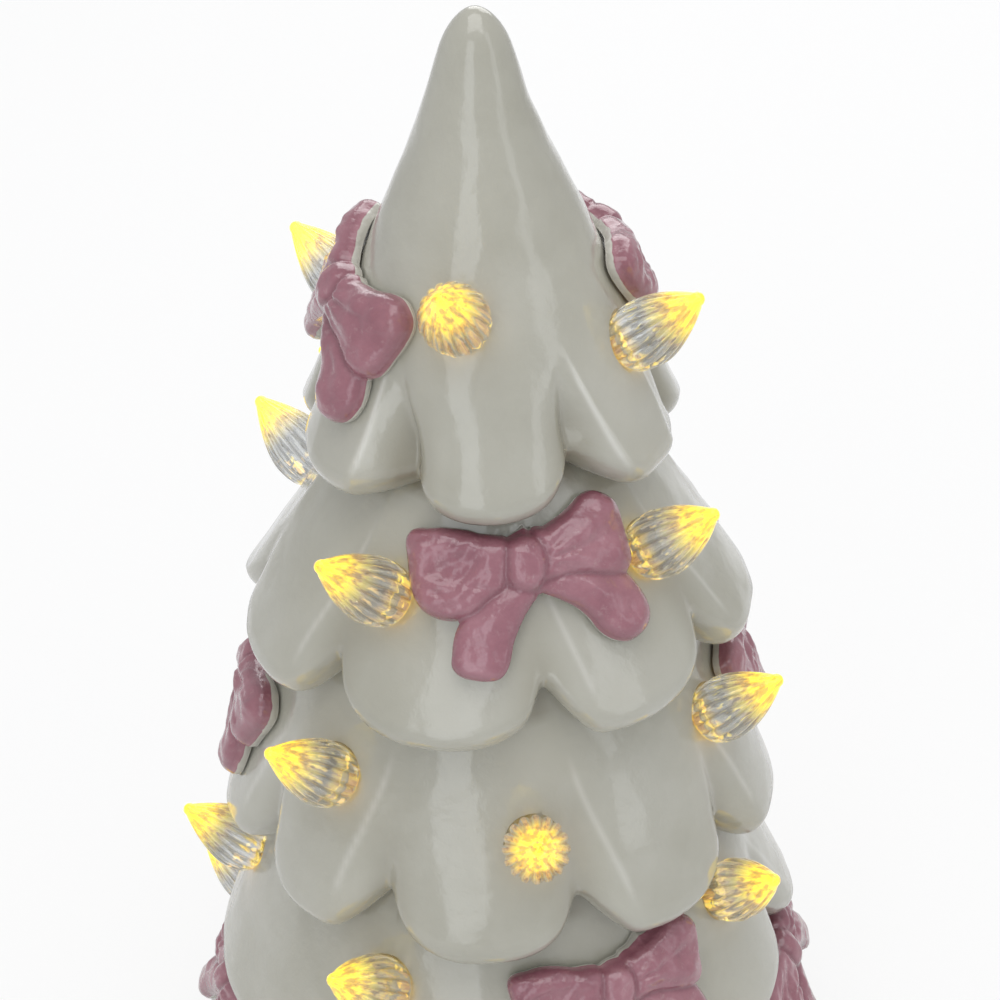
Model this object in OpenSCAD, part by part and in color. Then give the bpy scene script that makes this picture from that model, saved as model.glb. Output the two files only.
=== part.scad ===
// Lit ceramic tabletop tree: five tiers of lobed branches, glazed bows, clear plug-in bulbs,
// and a battery base with its light string inside. Millimetres, +Z up, front faces -Y,
// origin on the table under the middle of the foot.

/* [Tree] */
// Height of the apex above the table
apex_z = 279; // [265:1:300]
// Rounding added to the cone's radius at the tip
tip_r = 4.8; // [3:0.1:7]
// Depth over which the tip is rounded
tip_h = 8; // [5:0.5:12]
// Largest radius of the first tier's lobes
tier_1_r = 42; // [40:0.5:44]
// Largest radius of the second tier's lobes
tier_2_r = 58; // [56:0.5:60]
// Largest radius of the third tier's lobes
tier_3_r = 65; // [63:0.5:67]
// Largest radius of the fourth tier's lobes
tier_4_r = 72; // [70:0.5:74]
// Largest radius of the fifth tier's lobes
tier_5_r = 79; // [77:0.5:82]
// Height of the first tier's lobe bottoms
tier_1_z = 185; // [183:1:188]
// Height of the second tier's lobe bottoms
tier_2_z = 140; // [138:1:142]
// Height of the third tier's lobe bottoms
tier_3_z = 88; // [86:1:90]
// Height of the fourth tier's lobe bottoms
tier_4_z = 44; // [42:1:46]
// Height of the fifth tier's lobe bottoms
tier_5_z = 8; // [6:1:10]
// How far the first tier's edge rises between two lobes
top_rise = 9; // [7:0.5:11]
// How far the lower tiers' edges rise between two lobes
lobe_rise = 10; // [8:0.5:12]
// Depth of the first tier's grooves
top_groove = 9; // [6:0.5:10]
// Depth of the lower tiers' grooves
lobe_groove = 8; // [6:0.5:9]
// Height of the rounding under a lobe
lip_h = 6; // [4:0.5:8]
// How far that rounding runs inward
lip_in = 6; // [4:0.5:7]
// How far a tier starts inside the lobes above it
root_in = 18; // [17:0.5:19]
// How far a tier starts above the edge above it
root_up = 2; // [1:0.5:3]

/* [Hollow] */
// Wall thickness where each tier starts
wall = 5; // [4:0.5:6]
// Solid clay above the hollow
top_solid = 30; // [25:1:40]
// Width of the foot ring
foot_w = 9; // [8:0.5:10]
// Step in the foot ring that the base plate sits in
rebate_w = 2; // [1.5:0.1:2.5]

/* [Bulbs] */
// Length of a bulb from its seat to its tip
bulb_l = 22; // [18:0.5:26]
// Largest radius of a bulb
bulb_r = 7.2; // [6:0.1:8]
// Radius of a bulb's flat base
bulb_base_r = 5; // [4:0.1:5.4]
// Radius of a bulb's tip
bulb_tip_r = 1.5; // [1:0.1:2]
// Radius of the peg under a bulb
peg_r = 2.5; // [2.2:0.1:3]
// Length of the peg
peg_l = 9; // [7:0.5:10]
// Angle of every bulb above level
bulb_tilt = 42; // [38:1:46]
// How deep a bulb's flat seat is cut into the glaze
seat_sink = 1.5; // [1.2:0.1:2]
// Gap round a peg in its hole
peg_gap = 0.1; // [0.05:0.01:0.2]
// Gap round a bulb in its seat
seat_gap = 0.3; // [0.2:0.05:0.5]
// Height of the bulb's widest ring, as a share of its length
belly_share = 0.3; // [0.25:0.01:0.4]

/* [Bows] */
// Half of a bow's width
bow_half_w = 23; // [20:0.5:26]
// Thickness of a bow above the glaze at its middle
bow_t = 8; // [6:0.5:10]
// Radius of a bow's knot
knot_r = 5.2; // [4.5:0.1:6]
// Bonding gap between a bow and the tree
bond_gap = 0.2; // [0.1:0.05:0.3]

/* [Base plate] */
// Thickness of the foot pads
pad_t = 2; // [1.5:0.5:3]
// Radius of a foot pad
pad_r = 3.2; // [2.5:0.1:3.4]
// Number of foot pads
pad_count = 6; // [3:1:8]
// Thickness of the base plate
plate_t = 3; // [2.6:0.1:4]
// Height of the plate's underside above the foot ring's
plate_lift = 0.5; // [0.3:0.1:1]
// Gap round the plate in the foot ring
plate_gap = 0.3; // [0.2:0.05:0.5]

/* [Battery bay] */
// Radius of one AA cell
cell_r = 7.25; // [7:0.05:7.5]
// Length of one AA cell with its button
cell_l = 50.5; // [49:0.5:51]
// Gap round each cell
cell_gap = 0.25; // [0.2:0.05:0.5]
// Room for a contact at each end of a cell
contact_room = 3.2; // [2.5:0.1:4]
// Wall thickness of the battery tray
tray_wall = 1.8; // [1.5:0.1:2.4]
// Thickness of the battery door
door_t = 2.4; // [2:0.1:2.6]
// Running gap round the door and the slider
run_gap = 0.3; // [0.2:0.05:0.5]
// Radius of the door's hinge pins
pin_r = 0.8; // [0.6:0.05:0.9]
// Running gap round the hinge pins
pin_gap = 0.05; // [0.02:0.01:0.1]

/* [Switch] */
// Travel of the switch slider
switch_travel = 3; // [2:0.5:4]
// Length of the slider's knob
knob_l = 4; // [3:0.5:5]
// Width of the slider's knob
knob_w = 3; // [2.4:0.2:4]

/* [Lights] */
// Radius of the LED that sits inside a peg
led_r = 1.5; // [1:0.1:1.6]
// Depth of the wire behind a bulb's seat
wire_depth = 19; // [18.5:0.5:20]
// Radius of the insulated wire
wire_r = 0.7; // [0.5:0.1:0.9]

/* [Hidden] */
over = 0.5;
facet_count = 72;
tier_count = 5;
column_count = 72;
cone_rows = 12;
face_rows = 5;
lip_rows = 2;
lobe_power = 2.4;
cone_flare = 1.12;
cone_row_power = 1.5;
face_flares = [1, 1, 0.88, 0.88, 0.88];
groove_start_share = 0.68;
tier_r = [tier_1_r, tier_2_r, tier_3_r, tier_4_r, tier_5_r];
tier_z = [tier_1_z, tier_2_z, tier_3_z, tier_4_z, tier_5_z];
tier_rise = [top_rise, lobe_rise, lobe_rise, lobe_rise, lobe_rise];
tier_groove = [top_groove, lobe_groove, lobe_groove, lobe_groove, lobe_groove];

// Directions of the grooves between lobes, in degrees from the front towards +X
valley_angles = [
    [-87, -30, 27, 81, 128, 180, 220],
    [-85, -40, 10, 55, 100, 145, 190, 235],
    [-100, -60, -25, 15, 55, 95, 135, 175, 215],
    [-130, -95, -20, 30, 75, 120, 165, 205],
    [-100, -60, -20, 20, 60, 100, 135, 165, 195, 230],
];

// Each bulb: tier, direction of its seat, share down the tier's face, direction it points
bulb_place_shares = [
    [0, -124, 0.79, -118], [0, -11, 0.62, -12], [0, 66, 0.76, 63], [0, 196, 0.72, 196],
    [1, -119, 0.66, -122], [1, -30, 0.57, -62], [1, 50, 0.54, 63], [1, 137, 0.50, 137],
    [1, 223, 0.50, 223],
    [2, -41, 0.49, -63], [2, 7, 0.64, 1], [2, 62, 0.48, 71], [2, 134, 0.50, 134],
    [2, 162, 0.50, 162], [2, 192, 0.50, 192], [2, 224, 0.50, 224],
    [3, -83, 0.50, -88], [3, -26, 0.54, -49], [3, 58, 0.43, 44], [3, 130, 0.46, 130],
    [3, 154, 0.50, 154], [3, 217, 0.50, 217], [3, 241, 0.54, 241],
    [4, -111, 0.54, -110], [4, -42, 0.54, -42], [4, 0, 0.54, 0], [4, 42, 0.54, 42],
    [4, 122, 0.54, 122], [4, 149, 0.54, 149], [4, 180, 0.54, 180], [4, 212, 0.54, 212],
];
bulb_count = len(bulb_place_shares);

// Each bow: tier, direction, share down the tier's face, turn on the surface in degrees
bow_place_shares = [
    [0, -77, 0.645, -10], [0, 122, 0.64, 8],
    [1, 9, 0.41, 6], [1, 180, 0.45, -8],
    [2, -93, 0.50, -10], [2, 98, 0.42, 10],
    [3, 22, 0.49, 4], [3, 186, 0.46, -8],
    [4, -80, 0.48, -10], [4, 82, 0.46, 10],
];
bow_count = len(bow_place_shares);

bulb_names = [for (i = [1:bulb_count]) str("bulb_", i)];
bow_names = [for (i = [1:bow_count]) str("bow_", i)];
led_names = [for (i = [1:tier_count]) str("leds_tier_", i)];
base_names = [
    "foot_pads", "base_plate", "battery_tray", "battery_door", "battery_cells", "contact_springs",
    "contact_plates", "plate_screws", "switch_housing", "switch_slider", "circuit_board",
    "board_parts", "string_wire",
];

// Tree surface

function smooth_step(x) = let (c = max(0, min(1, x))) c * c * (3 - 2 * c);

// Distance from the middle of its lobe to a groove, 0 to 1, for a direction a
function lobe_offset(a, v, i = 0) =
    let (n = len(v), low = v[i], high = i + 1 < n ? v[i + 1] : v[0] + 360)
    let (x = ((a - low) % 360 + 360) % 360)
    x <= high - low || i + 1 >= n ? min(1, abs(2 * x / (high - low) - 1)) : lobe_offset(a, v, i + 1);

// How deep into a groove that direction lies: 0 on the lobe, 1 in the groove
function crease(k, a) =
    let (u = lobe_offset(a, valley_angles[k]))
    1 - pow(1 - pow(u, lobe_power), 1 / lobe_power);

function root_r(k) = tier_r[k - 1] - root_in;
function root_z(k) = tier_z[k - 1] + tier_rise[k - 1] + root_up;
function lip_top_z(k, c) = tier_z[k] + lip_h + tier_rise[k] * c;

// Radius and height on tier k's outer face, s from 0 where the tier starts to 1 at its lip
function cone_point(a, s) =
    let (c = crease(0, a) * smooth_step((s - groove_start_share) / (1 - groove_start_share)))
    let (h = (apex_z - lip_top_z(0, 0)) * s - top_rise * c)
    let (tip = tip_r * sqrt(1 - pow(1 - min(1, h / tip_h), 2)))
    [tip + (tier_1_r - tip_r) * pow(s, cone_flare) - top_groove * c, apex_z - h];

function face_point(k, a, s) =
    k == 0 ? cone_point(a, s) :
    let (c = crease(k, a), out = pow(s, face_flares[k]))
    let (lip = tier_r[k] - tier_groove[k] * c * out)
    [root_r(k) + (lip - root_r(k)) * out, root_z(k) + (lip_top_z(k, c) - root_z(k)) * s];

// The rounding under a lobe, t from 0 at the lip to 1 at the lowest point
function lip_point(k, a, t) =
    let (c = crease(k, a), r = tier_r[k] - tier_groove[k] * c)
    [r - lip_in * (1 - cos(90 * t)), lip_top_z(k, c) - lip_h * sin(90 * t)];

foot_r = root_r(tier_count);

// One profile from the apex to the foot
function tree_profile(a) = concat(
    [for (i = [1:cone_rows]) cone_point(a, pow(i / cone_rows, cone_row_power))],
    [for (i = [1:lip_rows]) lip_point(0, a, i / lip_rows)],
    [for (k = [1:tier_count - 1], i = [0:face_rows + lip_rows - 1])
        i < face_rows ? face_point(k, a, i / (face_rows - 1))
        : lip_point(k, a, (i - face_rows + 1) / lip_rows)],
    [[foot_r, root_z(tier_count)], [foot_r, pad_t]]
);

function spin_point(p, a) = [p[0] * sin(a), -p[0] * cos(a), p[1]];

// The direction straight out of the surface at row j of column i
function outward(rows, i, j) =
    let (c = len(rows), across = rows[(i + 1) % c][j] - rows[(i + c - 1) % c][j])
    let (down = rows[i][min(len(rows[0]) - 1, j + 1)] - rows[i][max(0, j - 1)], d = cross(down, across))
    d / norm(d);

// The whole outer surface, grown by a bonding gap where a bow is cut to fit it
module tree_outer(grow = 0) {
    rows = [for (i = [0:column_count - 1])
        let (a = 360 * i / column_count)
        [for (p = tree_profile(a)) spin_point(p, a)]];
    n = len(rows[0]);
    ring = [for (i = [0:column_count - 1], j = [0:n - 1])
        grow == 0 ? rows[i][j] : rows[i][j] + outward(rows, i, j) * grow];
    top = len(ring);
    points = concat(ring, [[0, 0, apex_z + grow], [0, 0, pad_t]]);
    sides = [for (i = [0:column_count - 1], j = [0:n - 2])
        let (a = i * n + j, b = ((i + 1) % column_count) * n + j)
        each [[a, b, b + 1], [a, b + 1, a + 1]]];
    caps = [for (i = [0:column_count - 1])
        let (a = i * n, b = ((i + 1) % column_count) * n)
        each [[top, b, a], [top + 1, a + n - 1, b + n - 1]]];
    polyhedron(points, concat(sides, caps), convexity = 10);
}

// A point on the tier's face in space
function on_face(k, a, s) = spin_point(face_point(k, a, s), a);

// Bulb seats

function bulb_axis(i) =
    let (a = bulb_place_shares[i][3])
    [sin(a) * cos(bulb_tilt), -cos(a) * cos(bulb_tilt), sin(bulb_tilt)];
function bulb_seat(i) =
    let (b = bulb_place_shares[i])
    on_face(b[0], b[1], b[2]) - bulb_axis(i) * seat_sink;

module at_bulb(i) {
    translate(bulb_seat(i)) rotate([0, 0, bulb_place_shares[i][3]]) rotate([90 - bulb_tilt, 0, 0]) children();
}

// Hollow inside the tree, one cone from each tier's start to the next

plate_z = pad_t + plate_lift;
plate_top_z = plate_z + plate_t;
foot_in_r = foot_r - foot_w;
hollow_profile = [
    [0, 0], [foot_in_r, 0], [foot_in_r, tier_5_z + lip_h / 2],
    [foot_r - 4 / 5 * wall, tier_5_z + lobe_rise], [foot_r - wall / 2, root_z(tier_count) + wall],
    [root_r(4) - wall, root_z(4)], [root_r(3) - wall, root_z(3)],
    [root_r(2) - wall, root_z(2)], [root_r(1) - wall, root_z(1)],
    [tip_r / 2, apex_z - top_solid], [0, apex_z - top_solid],
];

// Hole for a peg, its flat seat, and room for the bulb's belly above the seat
seat_r = (bulb_base_r + bulb_r) / 2;
belly_z = bulb_l * belly_share;
seat_profile = [
    [0, -wire_depth], [peg_r + peg_gap, -wire_depth], [peg_r + peg_gap, 0], [seat_r, 0],
    [bulb_r + seat_gap, belly_z / 2], [bulb_r + seat_gap, 2 * belly_z], [0, 2 * belly_z],
];

module tree_body() {
    color([0.85, 0.85, 0.81])
    difference() {
        tree_outer();
        rotate_extrude($fn = facet_count) polygon(hollow_profile);
        cylinder(h = plate_top_z, r = foot_in_r + rebate_w, $fn = facet_count);
        for (i = [0:bulb_count - 1]) at_bulb(i) rotate_extrude($fn = 32) polygon(seat_profile);
    }
}

// Bows: two loops, a knot and two tails, bonded on the glaze

// Corners of the loops and tails as shares of half the bow's width, before its turn
loop_corner_shares = [[0.78, 0.23], [0.71, -0.17]];
tail_top_share = -0.11;
loop_waist_shares = [[0.42, 0.19], [0.42, -0.13]];
tail_mid_shares = [[-0.24, -0.40], [0.40, -0.38]];
tail_end_shares = [[-0.41, -0.70], [0.66, -0.68]];
loop_round_share = 0.17;
tail_round_share = 0.19;

function face_length(k) = norm(face_point(k, 0, 1) - face_point(k, 0, 0));
function face_lean(k) =
    let (fall = face_point(k, 0, 1) - face_point(k, 0, 0))
    atan2(-fall[1], fall[0]);

// A place on the glaze, x across and y up from the bow's middle, turned with the bow
function bow_spot(b, x, y) =
    let (k = b[0], t = b[3], mid = face_point(k, b[1], b[2]))
    let (across = x * cos(t) - y * sin(t), up = x * sin(t) + y * cos(t))
    on_face(k, b[1] + across / mid[0] * 180 / PI, max(0.02, min(1, b[2] - up / face_length(k))));

// A flattened ball on the glaze at shares of half the bow's width, with a radius and a thickness
module bow_ball(b, spot, r, t) {
    x = bow_half_w * spot[0];
    turn = b[1] + x * cos(b[3]) / face_point(b[0], b[1], b[2])[0] * 180 / PI;
    translate(bow_spot(b, x, bow_half_w * spot[1])) rotate([0, 0, turn]) rotate([face_lean(b[0]), 0, 0])
        scale([r, r, t]) sphere(r = 1, $fn = 10);
}

// The same for the loops, mirrored to a side, and for the tails
module loop_ball(b, side, spot, t) {
    bow_ball(b, [side * spot[0], spot[1]], bow_half_w * loop_round_share, t);
}
module tail_ball(b, spot, t) {
    bow_ball(b, spot, bow_half_w * tail_round_share, t);
}

module bow(b) {
    color([0.74, 0.47, 0.53])
    difference() {
        union() {
            for (i = [0, 1]) {
                side = 2 * i - 1;
                hull() {
                    bow_ball(b, [0, 0], knot_r * 0.7, bow_t * 0.75);
                    for (p = loop_waist_shares) loop_ball(b, side, p, bow_t * 0.8);
                }
                hull() {
                    for (p = loop_waist_shares) loop_ball(b, side, p, bow_t * 0.8);
                    for (p = loop_corner_shares) loop_ball(b, side, p, bow_t * 0.7);
                }
                hull() {
                    bow_ball(b, [0, tail_top_share], knot_r * 0.6, bow_t * 0.6);
                    tail_ball(b, tail_mid_shares[i], bow_t * 0.6);
                }
                hull() {
                    tail_ball(b, tail_mid_shares[i], bow_t * 0.6);
                    tail_ball(b, tail_end_shares[i], bow_t * 0.55);
                }
            }
            bow_ball(b, [0, 0], knot_r, bow_t);
        }
        tree_outer(bond_gap);
    }
}

// Clear plug-in bulb: teardrop, flat base and a hollow peg round its LED

led_l = 6;
led_gap = 0.1;
module bulb(i) {
    tip_z = bulb_l - bulb_tip_r;
    side = [for (t = [0:15:90]) [bulb_base_r + (bulb_r - bulb_base_r) * sin(t), belly_z * (1 - cos(t))]];
    nose = [for (s = [0.2:0.2:1])
        [bulb_tip_r + (bulb_r - bulb_tip_r) * (1 - pow(s, 1.6)), belly_z + (tip_z - belly_z) * s]];
    cap = [for (t = [30:30:90]) [bulb_tip_r * cos(t), tip_z + bulb_tip_r * sin(t)]];
    color([0.93, 0.9, 0.75])
    at_bulb(i)
    difference() {
        union() {
            rotate_extrude($fn = 32) polygon(concat([[0, 0]], side, nose, cap));
            translate([0, 0, -peg_l]) cylinder(h = peg_l + over, r = peg_r, $fn = 32);
        }
        translate([0, 0, -peg_l]) cylinder(h = led_l, r = led_r + led_gap, $fn = 32);
    }
}

// Light string: an LED in each peg, with its leads running back to the wire

led_rim = 0.9;
led_rim_t = 1.2;
// Clearance between a lead's end and the wire
lead_gap = 0.5;
lead_r = 0.6;
module led(i) {
    at_bulb(i) {
        translate([0, 0, -peg_l]) cylinder(h = led_l - led_r, r = led_r, $fn = 24);
        translate([0, 0, -peg_l + led_l - led_r]) sphere(r = led_r, $fn = 24);
        translate([0, 0, -peg_l - led_rim_t]) cylinder(h = led_rim_t, r = led_r + led_rim / 2, $fn = 24);
        translate([0, 0, -wire_depth + wire_r + lead_gap])
            cylinder(h = wire_depth - wire_r - lead_gap - peg_l - led_rim_t, r = lead_r, $fn = 16);
    }
}

module leds_tier(k) {
    color([0.95, 0.85, 0.45])
    for (i = [0:bulb_count - 1]) if (bulb_place_shares[i][0] == k) led(i);
}

// Battery base

cell_count = 3;
cell_pitch = 2 * cell_r + cell_gap;
bay_w = cell_count * cell_pitch + cell_gap;
bay_l = cell_l + 2 * contact_room;
bay_h = 2 * cell_r + 2 * cell_gap;
tray_w = bay_w + 2 * tray_wall;
tray_l = bay_l + 2 * tray_wall;
tray_top_z = plate_top_z + bay_h + tray_wall;
cell_z = plate_top_z + cell_gap + cell_r;
ear_r = 4;
ear_inset = 1;
ear_t = 2.4;
screw_r = 1.25;
screw_gap = 0.05;
screw_head_r = 2.3;
screw_head_h = 1.6;
boss_h = 4;
screw_l = ear_t + boss_h;
door_w = bay_w - 2 * run_gap;
door_l = bay_l - 2 * run_gap;
door_z = plate_z + (plate_t - door_t) / 2;
hinge_z = door_z + door_t / 2;
hinge_y = -bay_l / 2 + run_gap + door_t / 2;
pin_l = 2.4;
notch_r = 6;
notch_t = 1;

switch_off = 9;
switch_x = tray_w / 2 + switch_off;
housing_w = 7;
housing_l = 13;
housing_h = 6;
housing_wall = 1.2;
slider_t = 2;
knob_drop = plate_t + run_gap;

// Where the tray's four ears and the switch's two ears take their screws
tray_screws = [for (x = [-1, 1], y = [-1, 1])
    [x * (tray_w / 2 + ear_r - ear_inset), y * (tray_l / 2 - 2 * ear_r)]];
switch_screws = [for (y = [-1, 1]) [switch_x, y * (housing_l / 2 + ear_r - ear_inset)]];
screw_spots = concat(tray_screws, switch_screws);

module block(size, z) {
    translate([-size[0] / 2, -size[1] / 2, z]) cube(size);
}

module base_plate() {
    color([0.9, 0.9, 0.88])
    difference() {
        union() {
            translate([0, 0, plate_z])
                cylinder(h = plate_t, r = foot_in_r + rebate_w - plate_gap, $fn = facet_count);
            for (p = screw_spots)
                translate([p[0], p[1], plate_top_z]) cylinder(h = boss_h, r = ear_r - ear_inset, $fn = 32);
        }
        block([bay_w, bay_l, plate_t + 2 * over], plate_z - over);
        for (p = screw_spots)
            translate([p[0], p[1], plate_top_z])
                cylinder(h = boss_h + over, r = screw_r + screw_gap, $fn = 32);
        for (side = [-1, 1])
            translate([side * bay_w / 2, hinge_y, hinge_z]) rotate([0, side * 90, 0])
                translate([0, 0, -over]) cylinder(h = pin_l + over, r = pin_r + pin_gap, $fn = 32);
        translate([switch_x, 0, 0])
            block([knob_w + 2 * run_gap, knob_l + switch_travel + 2 * run_gap, plate_t + 2 * over],
                plate_z - over);
        translate([0, bay_l / 2, plate_z - over]) cylinder(h = notch_t + over, r = notch_r, $fn = 32);
    }
}

module battery_door() {
    color([0.88, 0.88, 0.86])
    difference() {
        union() {
            translate([-door_w / 2, hinge_y, door_z]) cube([door_w, door_l / 2 - hinge_y, door_t]);
            translate([-door_w / 2, hinge_y, hinge_z]) rotate([0, 90, 0])
                cylinder(h = door_w, r = door_t / 2, $fn = 32);
            for (side = [-1, 1])
                translate([side * (door_w / 2 - over), hinge_y, hinge_z]) rotate([0, side * 90, 0])
                    cylinder(h = over + pin_l, r = pin_r, $fn = 32);
        }
        translate([0, bay_l / 2, door_z - over]) cylinder(h = notch_t + over, r = notch_r, $fn = 32);
    }
}

module battery_tray() {
    color([0.9, 0.9, 0.88])
    difference() {
        union() {
            block([tray_w, tray_l, bay_h + tray_wall], plate_top_z);
            for (p = tray_screws) {
                translate([p[0], p[1], plate_top_z + boss_h]) cylinder(h = ear_t, r = ear_r, $fn = 32);
                translate([p[0] - sign(p[0]) * ear_r / 2, p[1], 0])
                    block([ear_r, 2 * ear_r, ear_t], plate_top_z + boss_h);
            }
            for (p = board_posts) translate([p[0], p[1], tray_top_z]) {
                cylinder(h = post_h, r = post_r, $fn = 24);
                translate([0, 0, post_h]) cylinder(h = board_t, r = post_r / 2, $fn = 24);
            }
        }
        block([bay_w, bay_l, bay_h + over], plate_top_z - over);
        for (p = tray_screws)
            translate([p[0], p[1], plate_top_z + boss_h - over])
                cylinder(h = ear_t + 2 * over, r = screw_r + screw_gap, $fn = 32);
        translate([0, 0, tray_top_z - tray_wall - over])
            for (side = [-1, 1]) translate([side * wire_hole_x, tray_l / 2 - 2 * wire_hole_r, 0])
                cylinder(h = tray_wall + 2 * over, r = wire_hole_r, $fn = 24);
    }
}
wire_hole_x = 15;
wire_hole_r = 1.2;

module battery_cells() {
    button_r = 2.7;
    button_h = 1.2;
    color([0.75, 0.6, 0.3])
    for (i = [-1:1]) {
        flip = i == 0 ? -1 : 1;
        translate([i * cell_pitch, 0, cell_z]) rotate([flip * 90, 0, 0]) {
            translate([0, 0, -cell_l / 2]) cylinder(h = cell_l - button_h, r = cell_r, $fn = 48);
            translate([0, 0, cell_l / 2 - button_h - over])
                cylinder(h = button_h + over, r = button_r, $fn = 32);
        }
    }
}

// Conical springs at the flat ends and plates at the button ends
contact_t = 0.5;
contact_inset = 1;
module contact_springs() {
    spring_r = 4.2;
    spring_end_r = 2.2;
    spring_wire_r = 0.35;
    color([0.8, 0.8, 0.82])
    for (i = [-1:1]) {
        flip = i == 0 ? -1 : 1;
        room = contact_room - contact_t;
        translate([i * cell_pitch, flip * bay_l / 2, cell_z]) rotate([flip * 90, 0, 0]) {
            cylinder(h = contact_t, r = cell_r - contact_inset, $fn = 32);
            difference() {
                translate([0, 0, contact_t]) cylinder(h = room, r1 = spring_r, r2 = spring_end_r, $fn = 32);
                translate([0, 0, contact_t])
                    cylinder(h = room + over, r = spring_end_r - 2 * spring_wire_r, $fn = 32);
            }
        }
    }
}

module contact_plates() {
    dimple_r = 2;
    color([0.8, 0.8, 0.82])
    for (i = [-1:1]) {
        flip = i == 0 ? -1 : 1;
        translate([i * cell_pitch, -flip * bay_l / 2, cell_z]) rotate([-flip * 90, 0, 0]) {
            cylinder(h = contact_t, r = cell_r - contact_inset, $fn = 32);
            translate([0, 0, contact_t]) cylinder(h = contact_room - contact_t, r = dimple_r, $fn = 32);
        }
    }
}

module plate_screws() {
    color([0.7, 0.7, 0.72])
    for (p = screw_spots) translate([p[0], p[1], plate_top_z + boss_h + ear_t]) {
        difference() {
            cylinder(h = screw_head_h, r = screw_head_r, $fn = 32);
            for (turn = [0, 90]) rotate([0, 0, turn])
                block([screw_head_r * 1.2, screw_head_r * 0.3, screw_head_h], screw_head_h / 2);
        }
        translate([0, 0, -screw_l + over]) cylinder(h = screw_l - over, r = screw_r, $fn = 32);
    }
}

room_w = housing_w - 2 * housing_wall;
module switch_housing() {
    color([0.15, 0.15, 0.16])
    difference() {
        union() {
            translate([switch_x, 0, 0]) block([housing_w, housing_l, housing_h], plate_top_z);
            for (p = switch_screws)
                translate([p[0], p[1], plate_top_z + boss_h]) cylinder(h = ear_t, r = ear_r, $fn = 32);
        }
        translate([switch_x, 0, 0])
            block([room_w, housing_l - 2 * housing_wall, slider_t + 2 * run_gap + over], plate_top_z - over);
        for (p = switch_screws) {
            translate([p[0], p[1], plate_top_z + boss_h - over])
                cylinder(h = ear_t + 2 * over + housing_h, r = screw_r + screw_gap, $fn = 32);
            translate([p[0], p[1], plate_top_z - over]) cylinder(h = boss_h + over, r = ear_r, $fn = 32);
            translate([p[0], p[1], plate_top_z + boss_h + ear_t])
                cylinder(h = housing_h, r = ear_r, $fn = 32);
        }
    }
}

slider_l = housing_l - 2 * housing_wall - switch_travel - 2 * run_gap;
module switch_slider() {
    color([0.1, 0.1, 0.11])
    translate([switch_x, -switch_travel / 2, 0]) {
        block([room_w - 2 * run_gap, slider_l, slider_t], plate_top_z + run_gap);
        block([knob_w, knob_l, knob_drop + over], plate_top_z - knob_drop + run_gap);
    }
}

// Circuit board on the tray's posts
board_w = 34;
board_l = 24;
board_t = 1.2;
post_h = 3;
post_r = 2;
board_posts = [for (x = [-1, 1], y = [-1, 1]) [x * (board_w / 2 - 2 * post_r), y * (board_l / 2 - post_r)]];
board_z = tray_top_z + post_h;
board_top_z = board_z + board_t;

module circuit_board() {
    color([0.16, 0.42, 0.24])
    difference() {
        block([board_w, board_l, board_t], board_z);
        for (p = board_posts)
            translate([p[0], p[1], board_z - over])
                cylinder(h = board_t + 2 * over, r = post_r / 2 + screw_gap, $fn = 24);
    }
}

// Parts on the board: a chip, two small parts, a round capacitor and the string's plug
chip_size = [6, 5, 1.6];
small_size = [3.2, 1.6, 0.7];
plug_size = [6, 5, 4];
cap_r = 2.5;
cap_h = 6;
part_step = 3;
string_start = [3 * part_step, -5 / 3 * part_step];
module board_parts() {
    color([0.2, 0.2, 0.2]) {
        translate([-2 * part_step, 0, 0]) block(chip_size, board_top_z);
        for (side = [-1, 1])
            translate([2 / 3 * part_step, side * part_step, 0]) block(small_size, board_top_z);
        translate([8 / 3 * part_step, 4 / 3 * part_step, board_top_z])
            cylinder(h = cap_h, r = cap_r, $fn = 32);
        translate([string_start[0], string_start[1], 0]) block(plug_size, board_top_z);
    }
}

// Wire of the light string: from the board's plug, past every LED's leads, tier by tier
wire_ring = 8;
function bulb_back(i) = bulb_seat(i) - bulb_axis(i) * wire_depth;
wire_order = [for (k = [tier_count - 1:-1:0], i = [0:bulb_count - 1]) if (bulb_place_shares[i][0] == k) i];
wire_points = concat(
    [for (h = [1, 2]) [string_start[0], string_start[1], board_top_z + h * plug_size[2]]],
    [for (i = wire_order) bulb_back(i)]
);

function wire_frame(j) =
    let (n = len(wire_points))
    let (before = wire_points[max(0, j - 1)], after = wire_points[min(n - 1, j + 1)])
    let (d = (after - before) / norm(after - before))
    let (side = cross(d, [0, 0, 1]), s = norm(side) < 0.1 ? [1, 0, 0] : side / norm(side))
    [s, cross(s, d)];

module string_wire() {
    n = len(wire_points);
    points = [for (j = [0:n - 1], q = [0:wire_ring - 1])
        let (f = wire_frame(j), a = 360 * q / wire_ring)
        wire_points[j] + (f[0] * cos(a) + f[1] * sin(a)) * wire_r];
    sides = [for (j = [0:n - 2], q = [0:wire_ring - 1])
        let (a = j * wire_ring + q, b = j * wire_ring + (q + 1) % wire_ring)
        each [[a, b + wire_ring, a + wire_ring], [a, b, b + wire_ring]]];
    ends = [[for (q = [wire_ring - 1:-1:0]) q], [for (q = [0:wire_ring - 1]) (n - 1) * wire_ring + q]];
    color([0.85, 0.85, 0.8])
    polyhedron(points, concat(sides, ends), convexity = 10);
}

module foot_pads() {
    color([0.92, 0.92, 0.9])
    for (i = [0:pad_count - 1])
        rotate([0, 0, (i + 0.5) * 360 / pad_count])
            translate([0, -(foot_r + foot_in_r + rebate_w) / 2, 0]) cylinder(h = pad_t, r = pad_r, $fn = 32);
}

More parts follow.
